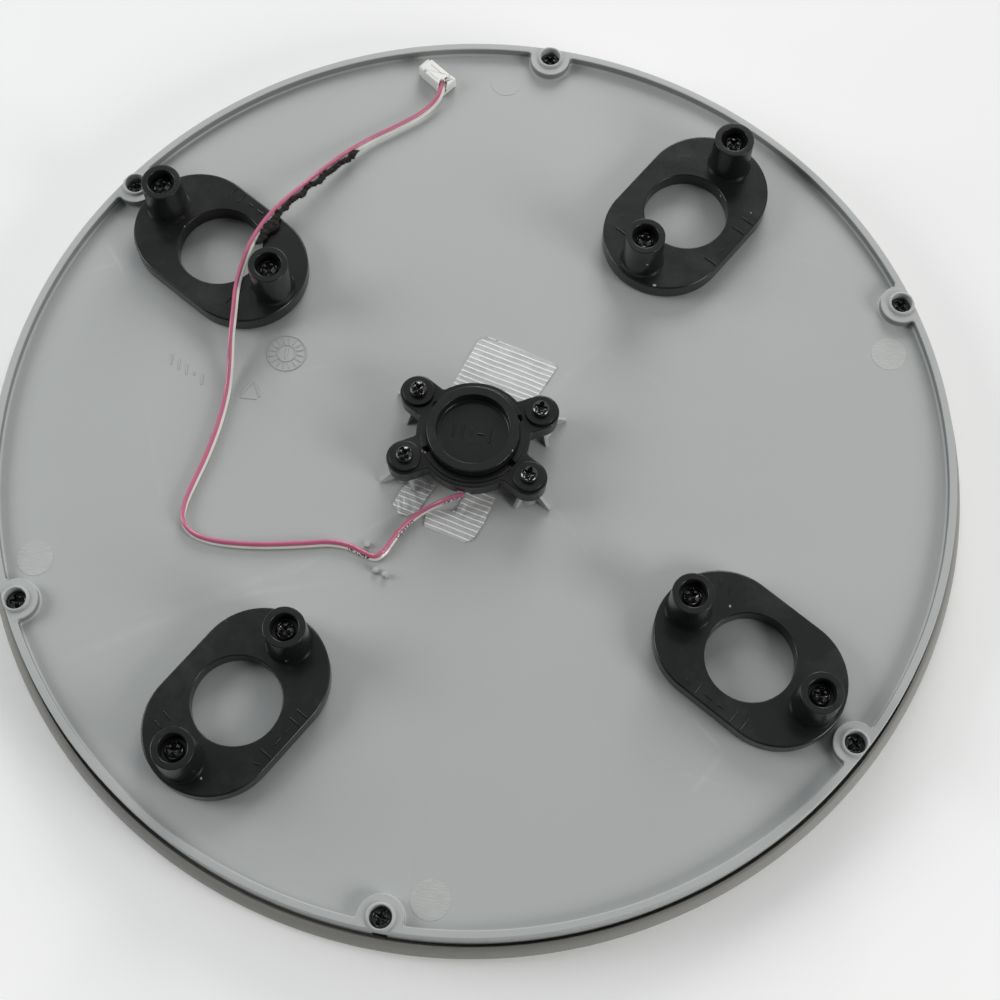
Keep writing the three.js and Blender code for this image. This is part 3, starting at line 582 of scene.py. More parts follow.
def foamMaterial():
    material, tree, shader = newMaterial("blackFoam", Roughness=0.95)
    spot = put(tree, "ShaderNodeTexCoord").outputs["Object"]
    cells = put(tree, "ShaderNodeTexVoronoi", {"Vector": spot, "Scale": 2400.0})
    soft = put(tree, "ShaderNodeTexNoise", {"Vector": spot, "Scale": 500.0, "Detail": 4.0})
    ramp = put(
        tree, "ShaderNodeMix",
        {"Factor": soft.outputs["Fac"], "A": (0.006, 0.005, 0.0045, 1), "B": (0.040, 0.034, 0.028, 1)},
        data_type="RGBA"
    )
    bump = put(
        tree, "ShaderNodeBump", {"Height": cells.outputs["Distance"], "Strength": 0.9, "Distance": 0.0003}
    )
    tree.links.new(ramp.outputs["Result"], shader.inputs["Base Color"])
    tree.links.new(bump.outputs[0], shader.inputs["Normal"])
    return material


def foamPieces(spec):
    # a round section beside the lead, swollen and pinched by wandering waves, with torn hairs standing off it
    share = np.linspace(spec["from"], spec["to"], spec["stations"])
    line = np.stack([np.interp(share, leadShare, leadLine[:, i]) for i in range(3)], -1)
    _, right, up = levelFrame(line)
    taper = np.clip(np.minimum(np.arange(len(line)), np.arange(len(line))[::-1]) / 9, 0.12, 1)
    patch = np.exp(-((share - 0.71) / 0.014) ** 2)  # the wider torn patch on the foot frame
    field = (spec["stations"], spec["around"])
    swell = 1 + 0.20 * waves(field, (26, 3), 11) + 0.14 * waves(field, (90, 8), 12)
    swell = swell + 0.10 * waves(field, (120, 14), 14)
    a = np.linspace(0, 2 * pi, spec["around"], endpoint=False)[None]
    wide = (spec["width"] * (taper * (1 + 1.1 * patch)))[:, None] * swell * np.cos(a)
    tall = (spec["height"] * taper)[:, None] * swell * np.sin(a)
    wander = (0.28 * waves((spec["stations"], 1), (7, 0), 13) + spec["side"] + 0.7 * patch[:, None])
    low = line + right * wander - np.array([0, 0, 0.15])
    grid = low[:, None] + right[:, None] * wide[..., None] + up[:, None] * tall[..., None]
    floor = np.where(np.hypot(grid[..., 0] + 82.6, grid[..., 1] - 47.7) < 27.4, 18.08, panelTop + 0.08)
    grid[..., 2] = np.maximum(grid[..., 2], floor)
    return [capped(grid), hairs(grid, spec["fibres"], 0.62, 21, 0.045)]


# three-sided slivers from points of a grid, outwards, tapering off
def hairs(grid, count, length, seed, thick=0.07):
    draw = np.random.default_rng(seed)
    rows, cols = grid.shape[:2]
    r, c = draw.integers(2, rows - 2, count), draw.integers(0, cols, count)
    root = grid[r, c]
    out = root - grid[r].mean(1)
    out = out / np.linalg.norm(out, axis=1)[:, None] + draw.normal(0, 0.55, (count, 3))
    out /= np.linalg.norm(out, axis=1)[:, None]
    reach = length * draw.uniform(0.25, 1.0, count)[:, None]
    bend = draw.normal(0, 0.25, (count, 3)) * reach
    side = np.cross(out, [0.3, 0.5, 0.81])
    side /= np.linalg.norm(side, axis=1)[:, None]
    lift = np.cross(out, side)
    a = np.arange(3) * 2 * pi / 3
    ring = side[:, None] * np.cos(a)[None, :, None] + lift[:, None] * np.sin(a)[None, :, None]
    bottom = root[:, None] + ring * thick
    middle = (root + out * reach * 0.55)[:, None] + bend[:, None] * 0.3 + ring * thick * 0.7
    tip = (root + out * reach + bend)[:, None] + ring * thick * 0.15
    points = np.stack([bottom, middle, tip], 1)
    points[..., 2] = np.maximum(
        points[..., 2], np.where(root[:, 2] > 17.5, 18.05, panelTop + 0.05)[:, None, None]
    )
    base = gridFaces(3, 3, False, True)
    shift = (np.arange(count) * 9)[:, None, None]
    ends = np.array([[2, 1, 0], [6, 7, 8]])
    return {
        "points": points.reshape(-1, 3),
        "faces": [(base[None] + shift).reshape(-1, 4), (ends[None] + shift).reshape(-1, 3)], "finish": 0
    }


leadFoam = meshObject("leadFoam", foamPieces(foam), [foamMaterial()], sharp=60)
settle(leadFoam, "chassis", ["lead_foam"])

# ---- connector ----
connector = {
    "length": 11.0, "width": 4.8, "height": 4.5, "round": 0.4, "turn": -35.0,
    "nose": 2.6, "noseWidth": 3.9, "noseDrop": 0.5, "lip": 2.3, "lipWidth": 6.0, "lipDrop": 0.9,
}
connectorLook = {
    "colour": (0.88, 0.87, 0.83), "cloud": 0.06, "cloudScale": 260.0, "grainScale": 2200.0,
    "roughness": 0.3, "roughSwing": 0.12, "bump": 0.12,
}


def boxLine(width, depth, corner, at=(0, 0)):
    x, y = width / 2, depth / 2
    return softened(
        [[at[0] - x, at[1] - y], [at[0] + x, at[1] - y], [at[0] + x, at[1] + y], [at[0] - x, at[1] + y]],
        corner
    )


def connectorHousing(spec):
    low, high = panelTop + 0.1, panelTop + 0.1 + spec["height"]
    half, soft = spec["length"] / 2, spec["round"]
    bodyStart, bodyEnd = 1.1 - half, half - 1.7
    body = slab(
        boxLine(bodyEnd - bodyStart, spec["width"], soft, ((bodyStart + bodyEnd) / 2, 0)), low, high, soft,
        0.3
    )
    nose = slab(
        boxLine(spec["nose"], spec["noseWidth"], soft, (spec["nose"] / 2 - half, 0)), low + 0.05,
        high - spec["noseDrop"], soft, 0.3
    )
    lip = slab(
        boxLine(spec["lip"], spec["lipWidth"], soft, (half - spec["lip"] / 2, 0)), low + 0.08,
        high - spec["lipDrop"], soft, 0.3
    )
    rails = [
        slab(boxLine(5.2, 0.6, 0.25, (-0.6, side * 1.2)), high - 0.3, high + 0.16, 0.15) for side in (-1, 1)
    ]
    return [body, nose, lip, *rails]


def connectorHollows(spec):
    middle = panelTop + 0.1 + spec["height"] / 2
    half = spec["length"] / 2
    end = lead["route"][-1]
    ways = [
        slab(boxLine(5, 1.2, 0.1, (-half - 0.2, side * 1.15)), middle - 0.6, middle + 0.6, 0.05)
        for side in (-1, 1)
    ]
    lock = slab(boxLine(0.7, 0.6, 0.12, (-2.7, -1.9)), middle + 1.2, middle + 5, 0.05)
    slot = slab(boxLine(0.55, 1.5, 0.1, (half - 2.0, 0.5)), middle + 0.6, middle + 5, 0.05)
    hollows = [placed(each, spec["turn"], connectorPlace[:2]) for each in [*ways, lock, slot]]
    pocket = slab(boxLine(2.3, 9.0, 0.5, (end[0] - 0.05, end[1] - 4.3)), end[2] - 1.2, end[2] + 4, 0.3)
    return hollows + [pocket]


connectorPlace = middleOf("lead_connector")
connectorWhite = plasticMaterial("connectorWhite", connectorLook, Subsurface_Weight=0.1)[0]
housing = [placed(each, connector["turn"], connectorPlace[:2]) for each in connectorHousing(connector)]
leadConnector = meshObject("leadConnector", housing, [connectorWhite])
carved(leadConnector, connectorHollows(connector))
settle(leadConnector, "chassis", ["lead_connector"])
print("foam and connector made")

# ---- filament tape ----
# each strip is ruled between two torn ends; the filament's turn is the way its filaments run, in degrees
tapes = [
    {"node": "tape_strip_1", "near": [(-10.2, 16.3), (2, 16.0), (13.4, 16.3)],
     "far": [(-4.7, 33.7), (-2.1, 35.3), (8, 32.9), (18.2, 30.2), (18.6, 28.8)], "ripple": 0.10},
    {"node": "tape_strip_2", "near": [(-9.6, -19.8), (-1.5, -18.6), (0.2, -12.5), (8.7, -11.9)],
     "far": [(-9.3, -24.6), (2.5, -27.3), (4.7, -25.8), (6.8, -20.3)], "ripple": 0.16},
    {"node": "tape_strip_3", "near": [(-19.0, -19.6), (-16.4, -22.7), (-13.9, -22.2), (-11.8, -20.4)],
     "far": [(-17.6, -15.2), (-14.5, -10.0), (-8.2, -11.3)], "ripple": 0.16},
]
filament = {"pitch": 1.55, "turn": -13.0, "thickness": 0.12, "low": 12.1}


def spaced(points, count):  # a polyline shared out evenly
    points = np.asarray(points, float)
    run = np.concatenate([[0], np.cumsum(np.linalg.norm(np.diff(points, axis=0), axis=1))])
    even = np.linspace(0, run[-1], count)
    return np.stack([np.interp(even, run, points[:, i]) for i in range(points.shape[1])], -1)


def tapeSkin(strip, spec, seed):
    # ruled between its ends; the height is a wandering ripple plus a ridge along every filament
    near, far = spaced(strip["near"], 110), spaced(strip["far"], 110)
    v = np.linspace(0, 1, 90)[:, None, None]
    flat = near[None] * (1 - v) + far[None] * v
    turn = radians(spec["turn"])
    phase = (flat[..., 1] * cos(turn) - flat[..., 0] * sin(turn)) / spec["pitch"]
    ridge = np.maximum(np.cos(2 * pi * phase), 0) ** 6 * 0.06
    low = spec["low"] + strip["ripple"] * (1.2 + waves(phase.shape, (3, 4), seed)) * 0.6
    top = low + spec["thickness"] + ridge
    upper, lower = np.concatenate([flat, top[..., None]], -1), np.concatenate([flat, low[..., None]], -1)
    grid = np.concatenate([upper, lower[:, ::-1]], 1)
    return capped(grid)


def tapeMaterial(spec):
    material, tree, shader = newMaterial("filamentTape", Roughness=0.16, IOR=1.47)
    spot = put(tree, "ShaderNodeTexCoord").outputs["Object"]
    lines = put(
        tree, "ShaderNodeMapping", {"Vector": spot, "Rotation": (0, 0, -radians(spec["turn"]))}
    ).outputs[0]
    across = put(tree, "ShaderNodeSeparateXYZ", {"Vector": lines}).outputs["Y"]
    wobble = put(tree, "ShaderNodeTexNoise", {"Vector": spot, "Scale": 120.0, "Detail": 2.0}).outputs["Fac"]
    bent = sums(tree, "MULTIPLY_ADD", wobble, 0.0004, across)
    wave = sums(tree, "COSINE", sums(tree, "MULTIPLY", bent, 2 * pi / (spec["pitch"] * 0.001)))
    line = put(tree, "ShaderNodeMapRange", {"Value": wave, "From Min": 0.50, "From Max": 0.90}).outputs[0]
    haze = put(
        tree, "ShaderNodeTexNoise", {"Vector": spot, "Scale": 190.0, "Detail": 5.0, "Roughness": 0.6}
    ).outputs["Fac"]
    haze = put(
        tree, "ShaderNodeMapRange",
        {"Value": haze, "From Min": 0.35, "From Max": 0.8, "To Min": 0.36, "To Max": 0.7}
    ).outputs[0]
    solid = sums(tree, "MAXIMUM", haze, sums(tree, "MULTIPLY", line, 0.92))
    colour = put(
        tree, "ShaderNodeMix", {"Factor": line, "A": (0.74, 0.76, 0.75, 1), "B": (0.98, 0.985, 0.98, 1)},
        data_type="RGBA"
    )
    crease = put(tree, "ShaderNodeTexNoise", {"Vector": spot, "Scale": 300.0, "Detail": 3.0}).outputs["Fac"]
    bump = put(tree, "ShaderNodeBump", {"Height": crease, "Strength": 0.35, "Distance": 0.0004})
    tree.links.new(colour.outputs["Result"], shader.inputs["Base Color"])
    tree.links.new(solid, shader.inputs["Alpha"])
    tree.links.new(bump.outputs[0], shader.inputs["Normal"])
    return material


tapeClear = tapeMaterial(filament)
for i, strip in enumerate(tapes):
    strand = meshObject("tapeStrip%d" % (i + 1), [tapeSkin(strip, filament, 40 + i)], [tapeClear], sharp=70)
    settle(strand, "chassis", [strip["node"]])
print("tape stuck")

# ---- tray that carries the feet ----
tray = {
    "wall": 131.3, "rim": 133.4, "under": 10.0, "skirt": 2.9, "fillet": 0.6, "edge": 0.35,
    "ear": 5.9, "earCircle": 130.0, "earFillet": 1.0, "collar": 3.85, "bore": 2.95, "collarTop": 15.8,
    "seat": 11.8,
    "notch": 3.9, "shankHole": 1.65, "bossHole": 4.5,
}
hubPosts = {
    "radius": 3.1, "top": 20.1, "finTop": 17.4, "finFoot": 12.8, "fin": 1.0, "reach": 7.8, "sideReach": 5.9
}
rimNodes = ["rim_screw_%d" % i for i in range(1, 7)]
footNodes = ["foot_screw_%d%s" % (i, side) for i in range(1, 5) for side in "ab"]
hubNodes = ["sensor_screw_%d" % i for i in range(1, 5)]


def earedLine(spec):
    # a sixth of the wall: round half an ear, a small fillet, along the wall, and the same mirrored
    reach, gap = spec["wall"] - spec["earFillet"], spec["ear"] + spec["earFillet"]
    lean = np.arccos((reach**2 + spec["earCircle"] ** 2 - gap**2) / (2 * reach * spec["earCircle"]))
    centre = reach * np.exp(1j * lean)
    touch = np.angle(centre - spec["earCircle"])
    ear = spec["earCircle"] + spec["ear"] * np.exp(1j * np.linspace(pi, touch, 22))
    fillet = centre + spec["earFillet"] * np.exp(1j * np.linspace(touch - pi, lean, 8))[1:]
    wall = spec["wall"] * np.exp(1j * np.linspace(lean, pi / 6, 46))[1:]
    half = np.concatenate([ear, fillet, wall])
    sixth = np.concatenate([half, (np.exp(1j * pi / 3) * half.conj())[::-1][1:-1]])
    line = (sixth[None] * np.exp(1j * (np.arange(6) * pi / 3 + pi / 2))[:, None]).ravel()
    return np.stack([line.real, line.imag], -1)


def traySkin(spec):
    # rows from the middle of the panel out to the wall, up it, over the rim, down outside and back underneath
    line = earedLine(spec)
    bend = np.linspace(0, pi / 2, 6)
    fillet = [[-spec["fillet"] * (1 - sin(t)), panelTop + spec["fillet"] * (1 - cos(t))] for t in bend]
    crown = [[0.25 * (1 - cos(t)), rimTop - 0.25 * (1 - sin(t))] for t in bend]
    inner = rowsOf(line, fillet + crown)
    flatRow = inner[0]
    panel = np.stack([flatRow * [s, s, 1] for s in (0, 0.2, 0.45, 0.7, 0.88, 0.96)])
    angle = np.maximum.accumulate(np.unwrap(np.arctan2(line[:, 1], line[:, 0])))
    outer = [
        [spec["rim"] - spec["edge"] * (1 - cos(t)), rimTop - spec["edge"] * (1 - sin(t))] for t in bend[::-1]
    ]
    outer += [
        [spec["rim"], spec["skirt"] + 0.2], [spec["rim"] - 0.2, spec["skirt"]],
        [spec["wall"] + 0.2, spec["skirt"]]
    ]
    outer += [
        [spec["wall"], spec["skirt"] + 0.2], [spec["wall"], spec["under"]], [80, spec["under"]],
        [0, spec["under"]]
    ]
    outer = np.array(outer)
    ring = np.stack(
        [outer[:, :1] * np.cos(angle), outer[:, :1] * np.sin(angle), outer[:, 1:] + 0 * angle], -1
    )
    rows = np.concatenate([panel, inner, ring])
    # the wall's rows take the third finish, whose darker colour is painted shade
    atWall = np.arange(len(rows) - 1) == len(panel) + len(fillet) - 1
    return skin(rows, finish=np.repeat(atWall * 2, len(line)))


def hubPostSkins(spec):
    pieces = []
    for node in hubNodes:
        x, y = middleOf(node)[:2]
        outward = np.degrees(np.arctan2(y, x))
        post = turned(softened([[0, panelTop - 0.3], [spec["radius"] + 0.6, panelTop - 0.3], [
            spec["radius"], panelTop + 0.8
        ],
                                [spec["radius"] - 0.1, spec["top"]], [0, spec["top"]]], 0.15, closed=False),
                                40)
        pieces.append(placed(post, 0, (x, y)))
        for reach, side in ((spec["reach"], 0), (spec["sideReach"], 90), (spec["sideReach"], -90)):
            outline = softened([[0, panelTop - 0.3], [reach, panelTop - 0.3], [reach, spec["finFoot"]],
                                [spec["radius"] + 0.3, spec["finTop"]], [0, spec["finTop"]]], 0.2)
            fin = standing(slab(outline, -spec["fin"] / 2, spec["fin"] / 2, 0.12, 0.12))
            pieces.append(placed(fin, outward + side, (x, y)))
    return pieces


def collarSkins(spec):
    outline = [[spec["bore"], rimTop - 0.8], [spec["collar"], rimTop - 0.8], [spec["collar"], rimTop + 0.15],
               [spec["collar"] - 0.35, spec["collarTop"]], [spec["bore"], spec["collarTop"]]]
    ring = turned(softened(outline, [0, 0, 0.1, 0.3, 0.22]), 72, wrap=True)
    cut = ring["points"].copy()
    rings = []
    for node in rimNodes:
        made = placed({**ring, "points": cut}, 0, middleOf(node)[:2])
        radius = np.hypot(made["points"][:, 0], made["points"][:, 1])
        shrink = np.minimum(1, (spec["rim"] - 0.02) / radius)
        made["points"][:, :2] *= shrink[:, None]
        rings.append(made)
    return rings


# radius, place and finish of each ejector disc, and the dial's place and height
panelDiscs = [(5.2, (11.3, -123.3), 1), (5.0, (111, 50), 1), (5.0, (-111.5, -52), 1), (4.6, (-12, 121), 0)]
dial = {"place": (-57.8, 20.3), "proud": 0.24}


def panelMarks():
    # ejector discs, a plain dial with ticks, a three-bar mark and five short bars, all moulded a hair proud
    marks = []
    for radius, at, finish in panelDiscs:
        marks.append(slab(circleLine(radius, 64, at), panelTop - 0.2, panelTop + 0.07, 0.05, finish=finish))
    root = panelTop - 0.1
    for radius in (5.5, 2.6):
        low, high = root, panelTop + dial["proud"]
        section = [[radius - 0.12, low], [radius + 0.12, low], [radius + 0.08, high], [radius - 0.08, high]]
        marks.append(placed(turned(section, 72, wrap=True), 0, dial["place"]))
    for turn in np.arange(0, 2 * pi, pi / 8):
        way = np.array([cos(turn), sin(turn)])
        start, end = way * 3.3 + dial["place"], way * 4.7 + dial["place"]
        marks.append(stroke(start, end, 0.35, root, panelTop + dial["proud"]))
    marks.append(stroke((-57.8, 18.8), (-57.8, 21.9), 0.5, root, panelTop + 0.26))
    corners = np.array([[-68.2, 4.6], [-62.0, 5.0], [-64.9, 10.6]])
    for here, there in zip(corners, np.roll(corners, -1, 0)):
        start, end = here * 0.86 + there * 0.14, here * 0.2 + there * 0.8
        marks.append(stroke(start, end, 0.55, root, panelTop + 0.24))
    for step in range(5):
        at = np.array([-89.5 + step * 2.5, 13.2 - step * 1.15])
        long = 1.9 if step != 3 else 0.5
        start, end = at - (-0.2 * long / 2, long), at + (-0.2 * long / 2, long * 0.6)
        marks.append(stroke(start, end, 0.45, root, panelTop + 0.22))
    for x, y, tall, lean in ((-19.9, -39.6, 1.9, 0.5), (-16.9, -40.4, 2.0, -0.3), (-23.6, -32.6, 1.2, 0.2)):
        pin = turned(softened([[0, 0], [0.85, 0], [0.8, tall], [0, tall + 0.15]], 0.25, closed=False), 28)
        pin["points"][:, 0] += pin["points"][:, 2] * lean * 0.3
        marks.append(placed(pin, 0, (x, y, panelTop - 0.2)))
    return marks


def trayHollows(spec):
    # under each ear: the notch for the shell's pillar, the shank's hole, and the bore that the head sits in
    stepped = turned([[0, 0], [spec["notch"], 0], [spec["notch"], spec["under"]], [
        spec["shankHole"], spec["under"]
    ],
                      [spec["shankHole"], spec["seat"]], [spec["bore"], spec["seat"]], [spec["bore"], 20],
                      [0, 20]], 48)
    boss = turned(
        [[0, spec["under"] - 1], [spec["bossHole"], spec["under"] - 1], [spec["bossHole"], 14], [0, 14]], 32
    )
    hollows = [placed(stepped, 0, middleOf(node)[:2]) for node in rimNodes]
    return hollows + [placed(boss, 0, middleOf(node)[:2]) for node in footNodes]


trayLook = {
    "colour": (0.432, 0.449, 0.442), "cloud": 0.08, "cloudScale": 14.0, "grainScale": 1700.0,
    "roughness": 0.36, "roughSwing": 0.16, "bump": 0.16,
    "dust": 0.5, "dustScale": 150.0, "dustShare": 0.035, "dustSize": 0.09, "film": 0.0,
}
# painted shade: the rim's inner wall is coloured darker than the panel, as it looks in shadow, and it is
# rougher
wallShadedLook = {"colour": (0.235, 0.245, 0.241), "roughness": 0.62, "bump": 0.5, "dust": 0}
# rubbed and scraped lines on the panel: start, end, width and strength
scuffs = [
    ((-16, -20), (-44, -46), 1.1, 0.42), ((-30, -34), (-98, -80), 2.6, 0.22),
    ((-24, -42), (-84, -64), 1.6, 0.20),
    ((-8, -32), (-70, -84), 1.2, 0.10), ((70, -64), (80, -73), 1.0, 0.45), ((80, -72), (73, -85), 1.4, 0.35),
    ((68, -80), (84, -82), 0.9, 0.22), ((68, 84), (96, 94), 1.1, 0.26), ((74, 78), (92, 74), 0.9, 0.24),
    ((70, 78), (88, 104), 0.8, 0.22), ((-118, 46), (-110, 37), 1.0, 0.30),
    ((-122, 35), (-110, 42), 0.7, 0.24),
    ((22, -10), (38, -25), 1.0, 0.30), ((18, 20), (30, 40), 2.4, 0.14), ((-52, 15.5), (-40, 21), 0.8, 0.26),
    ((2, -11), (34, -19), 1.2, 0.2), ((20, 40), (70, 20), 1.2, 0.08), ((-96, 4), (-80, -34), 1.4, 0.10),
]


def trayMaterials(look, lines):
    material, tree, shader = plasticMaterial("trayGrey", look)
    colour = shader.inputs["Base Color"].links[0].from_socket
    rough = shader.inputs["Roughness"].links[0].from_socket
    cover = None
    for start, end, width, strength in lines:
        start, end = [(x * 0.001, y * 0.001, 0) for x, y in (start, end)]
        line = useGroup(
            tree, scuffed, Start=start, End=end, Width=width * 0.001, Strength=strength, Waver=0.004
        )
        cover = line.outputs[0] if cover is None else sums(tree, "MAXIMUM", cover, line.outputs[0])
    mixed = put(
        tree, "ShaderNodeMix", {"Factor": cover, "A": colour, "B": (0.66, 0.67, 0.66, 1)}, data_type="RGBA"
    )
    tree.links.new(mixed.outputs["Result"], shader.inputs["Base Color"])
    tree.links.new(sums(tree, "MULTIPLY_ADD", cover, -0.25, rough, clamp=True), shader.inputs["Roughness"])
    return material


def ejectorMaterial():  # the turned end of the ejector pin has printed its brushing on the disc
    look = {
        **trayLook, "colour": (0.47, 0.48, 0.47), "cloud": 0.1, "cloudScale": 60.0, "roughness": 0.3,
        "dust": 0
    }
    material, tree, shader = plasticMaterial("ejectorFace", look)
    spot = put(tree, "ShaderNodeTexCoord").outputs["Object"]
    lines = put(tree, "ShaderNodeMapping", {"Vector": spot, "Rotation": (0, 0, 0.8), "Scale": (1, 14, 1)})
    brushed = put(
        tree, "ShaderNodeTexNoise", {"Vector": lines.outputs[0], "Scale": 320.0, "Detail": 3.0}
    ).outputs["Fac"]
    bump = put(tree, "ShaderNodeBump", {"Height": brushed, "Strength": 0.4, "Distance": 0.0002})
    tree.links.new(bump.outputs[0], shader.inputs["Normal"])
    colour = shader.inputs["Base Color"].links[0].from_socket
    tree.links.new(shaded(tree, colour, brushed, 0.5), shader.inputs["Base Color"])
    return material


trayFinishes = [
    trayMaterials(trayLook, scuffs), ejectorMaterial(),
    # the third finish, on the rim's inner wall, is painted shade: a darker colour
    plasticMaterial("trayWallPaintedShade", {**trayLook, **wallShadedLook})[0]
]
chassisTray = meshObject("chassisTray", [traySkin(tray)], trayFinishes, sharp=40)
carved(chassisTray, trayHollows(tray), sharp=40)
extras = meshObject(
    "trayExtras", hubPostSkins(hubPosts) + collarSkins(tray) + panelMarks(), list(chassisTray.data.materials)
)


def joined(piece, other):  # the other piece's mesh added to this one's
    work = bmesh.new()
    work.from_mesh(piece.data)
    work.from_mesh(other.data)
    work.to_mesh(piece.data)
    work.free()
    bpy.data.objects.remove(other)
    return piece


joined(chassisTray, extras)
settle(chassisTray, "chassis", ["chassis_tray"])
print("tray made:", len(chassisTray.data.polygons), "faces")

# ---- platform shell and its mat ----
shell = {
    "radius": 136.8, "low": 0.4, "floor": 2.6, "recess": 1.1, "recessRadius": 119.3, "bulge": 2.65,
    "round": 3.0,
    "lip": 134.3, "lipFlat": 0.5, "lipTop": 7.0, "pillar": 3.0, "pillarTop": 9.7,
    "window": (62.0, 28.0, 15.0), "windowPlace": middleOf("display_window")[:2],
}
shellLook = {
    "colour": (0.262, 0.258, 0.240), "cloud": 0.07, "cloudScale": 16.0, "grainScale": 2100.0,
    "roughness": 0.5, "roughSwing": 0.1, "bump": 0.3,
    "dust": 0.4, "dustScale": 170.0, "dustShare": 0.03, "dustSize": 0.1, "film": 0.0,
}
mat = {"radius": 119.0, "top": 0.8, "pitch": 2.0, "groove": 0.25, "grooveWidth": 0.5, "margin": 1.0}
matLook = {
    "colour": (0.14, 0.148, 0.155), "cloud": 0.15, "cloudScale": 30.0, "grainScale": 1200.0,
    "roughness": 0.72, "roughSwing": 0.12, "bump": 0.5,
}


def shellSkin(spec):
    # the rounded underside and the sloped lip are quarter ellipses; the inside is the open ring and the floor
    down, up = np.linspace(-pi / 2, 0, 12), np.linspace(0, pi / 2, 16)
    belly = [
        [spec["radius"] - spec["round"] * (1 - cos(t)), spec["bulge"] + (spec["bulge"] - spec["low"]) * sin(t)]
        for t in down
    ]
    slope = spec["radius"] - spec["lip"] - spec["lipFlat"]
    lip = [
        [
            spec["lip"] + spec["lipFlat"] + slope * cos(t),
            spec["bulge"] + (spec["lipTop"] - spec["bulge"]) * sin(t)
        ] for t in up
    ]
    profile = [
        [0, spec["recess"]], [spec["recessRadius"], spec["recess"]], [spec["recessRadius"], spec["low"]]
    ]
    profile += belly + lip[1:] + [[spec["lip"] + 0.15, spec["lipTop"]], [spec["lip"], spec["lipTop"] - 0.15]]
    profile += [[spec["lip"], spec["floor"]], [0, spec["floor"]]]
    return turned(profile, 480)


def shellPillars(spec):
    pillars = []
    for node in rimNodes:
        post = softened([[0, spec["floor"] - 0.3], [spec["pillar"], spec["floor"] - 0.3], [
            spec["pillar"], spec["pillarTop"]
        ],
                         [1.65, spec["pillarTop"]], [1.65, spec["floor"]], [0, spec["floor"]]],
                         [0, 0, 0.2, 0.1, 0, 0], closed=False)
        pillars.append(placed(turned(post, 40), 0, middleOf(node)[:2]))
    return pillars


def socketSkins():  # the square sockets that hold the load cells
    walls = []
    for i, turn in enumerate((150, 60, -30, -120)):
        outer, inner = boxLine(37.4, 37.4, 0.6), boxLine(34.6, 34.6, 0.6)
        rows = [np.c_[outer, np.full(len(outer), 2.4)], np.c_[outer, np.full(len(outer), 4.2)],
                np.c_[inner, np.full(len(inner), 4.2)], np.c_[inner, np.full(len(inner), 2.4)]]
        walls.append(
            placed(skin(np.stack(rows), wrapRows=True), turn, middleOf("load_cell_%d" % (i + 1))[:2])
        )
    return walls


def matSkin(spec):  # its worn face is downwards: fine grooves run round it, one every pitch
    radius = np.arange(2, spec["radius"] - 2, spec["pitch"])
    rows = [[0, 0]]
    for r in radius:
        rows += [
            [r - spec["grooveWidth"] / 2, 0], [r - 0.1, spec["groove"]], [r + 0.1, spec["groove"]],
            [r + spec["grooveWidth"] / 2, 0]
        ]
    rows += [
        [spec["radius"] - 0.25, 0], [spec["radius"], 0.25], [spec["radius"], spec["top"]], [0, spec["top"]]
    ]
    return turned(rows, 300)


platformShell = meshObject(
    "platformShell", [shellSkin(shell)], [plasticMaterial("shellGrey", shellLook)[0]], sharp=40
)
windowCut = slab(boxLine(shell["window"][0], shell["window"][1], 1.2), -2, 5, 0.01)
carved(platformShell, [placed(windowCut, shell["window"][2], shell["windowPlace"])], sharp=40)
joined(
    platformShell,
    meshObject("shellExtras", shellPillars(shell) + socketSkins(), list(platformShell.data.materials))
)
settle(platformShell, "chassis", ["platform_shell"])
platformMat = meshObject("platformMat", [matSkin(mat)], [plasticMaterial("matRubber", matLook)[0]], sharp=40)
matCut = slab(
    boxLine(shell["window"][0] + 2 * mat["margin"], shell["window"][1] + 2 * mat["margin"], 2), -2, 3, 0.01
)
carved(platformMat, [placed(matCut, shell["window"][2], shell["windowPlace"])], sharp=40)
settle(platformMat, "chassis", ["platform_mat"])
print("platform made:", len(platformShell.data.polygons), "faces")

# ---- foot frames ----
foot = {
    "endRadius": 18.1, "endOffset": 9.5, "hole": 12.1, "low": 12.9, "top": 18.0, "bevel": 0.55, "sides": 240,
    "postSpread": 20.6, "postFoot": 5.9, "postTopRadius": 5.6, "postTop": 31.2, "bore": 3.72, "seat": 27.2,
    "angles": (150, 60, -30, -120),
}
# plain raised strokes on each frame's top: across the frame (right of outward), outward,
# half length, direction in degrees
footMarks = [
    [
        (15.6, 9.6, 1.7, 0), (15.6, 6.2, 1.7, 0), (15.6, 2.4, 0.6, 90), (15.6, -1.2, 1.2, 90),
        (-11.0, -13.8, 1.2, 0)
    ],
    [
        (15.6, 8.8, 1.9, 0), (15.6, 4.6, 1.9, 0), (15.6, -0.4, 0.7, 90), (15.8, -4.6, 1.2, 90),
        (15.6, -8.6, 1.9, 0), (-10.2, -17.4, 1.8, 0)
    ],
    [
        (15.6, 9.6, 1.8, 0), (15.6, 6.2, 1.8, 0), (15.7, 2.0, 0.8, 90), (15.7, -1.8, 1.2, 90),
        (15.6, -5.4, 1.7, 0), (15.6, -8.6, 0.8, 60), (-11.4, -15.4, 1.3, 20), (-11.0, -18.4, 0.8, 20)
    ],
    [
        (-15.6, 8.8, 0.8, 20), (-15.6, 5.4, 1.8, 0), (-15.6, 1.2, 1.2, 90), (-15.6, -2.6, 0.8, 90),
        (-15.6, -5.6, 1.8, 0), (-15.6, -8.4, 1.8, 0), (11.0, 17.6, 1.2, -10), (10.8, 14.4, 1.4, -10)
    ],
]
blackLook = {
    "colour": (0.0105, 0.0112, 0.0115), "cloud": 0.3, "cloudScale": 45.0, "grainScale": 1500.0,
    "roughness": 0.13, "roughSwing": 0.2, "bump": 0.14,
    "dust": 0.7, "dustScale": 330.0, "dustShare": 0.05, "dustSize": 0.16, "film": 0.035,
}


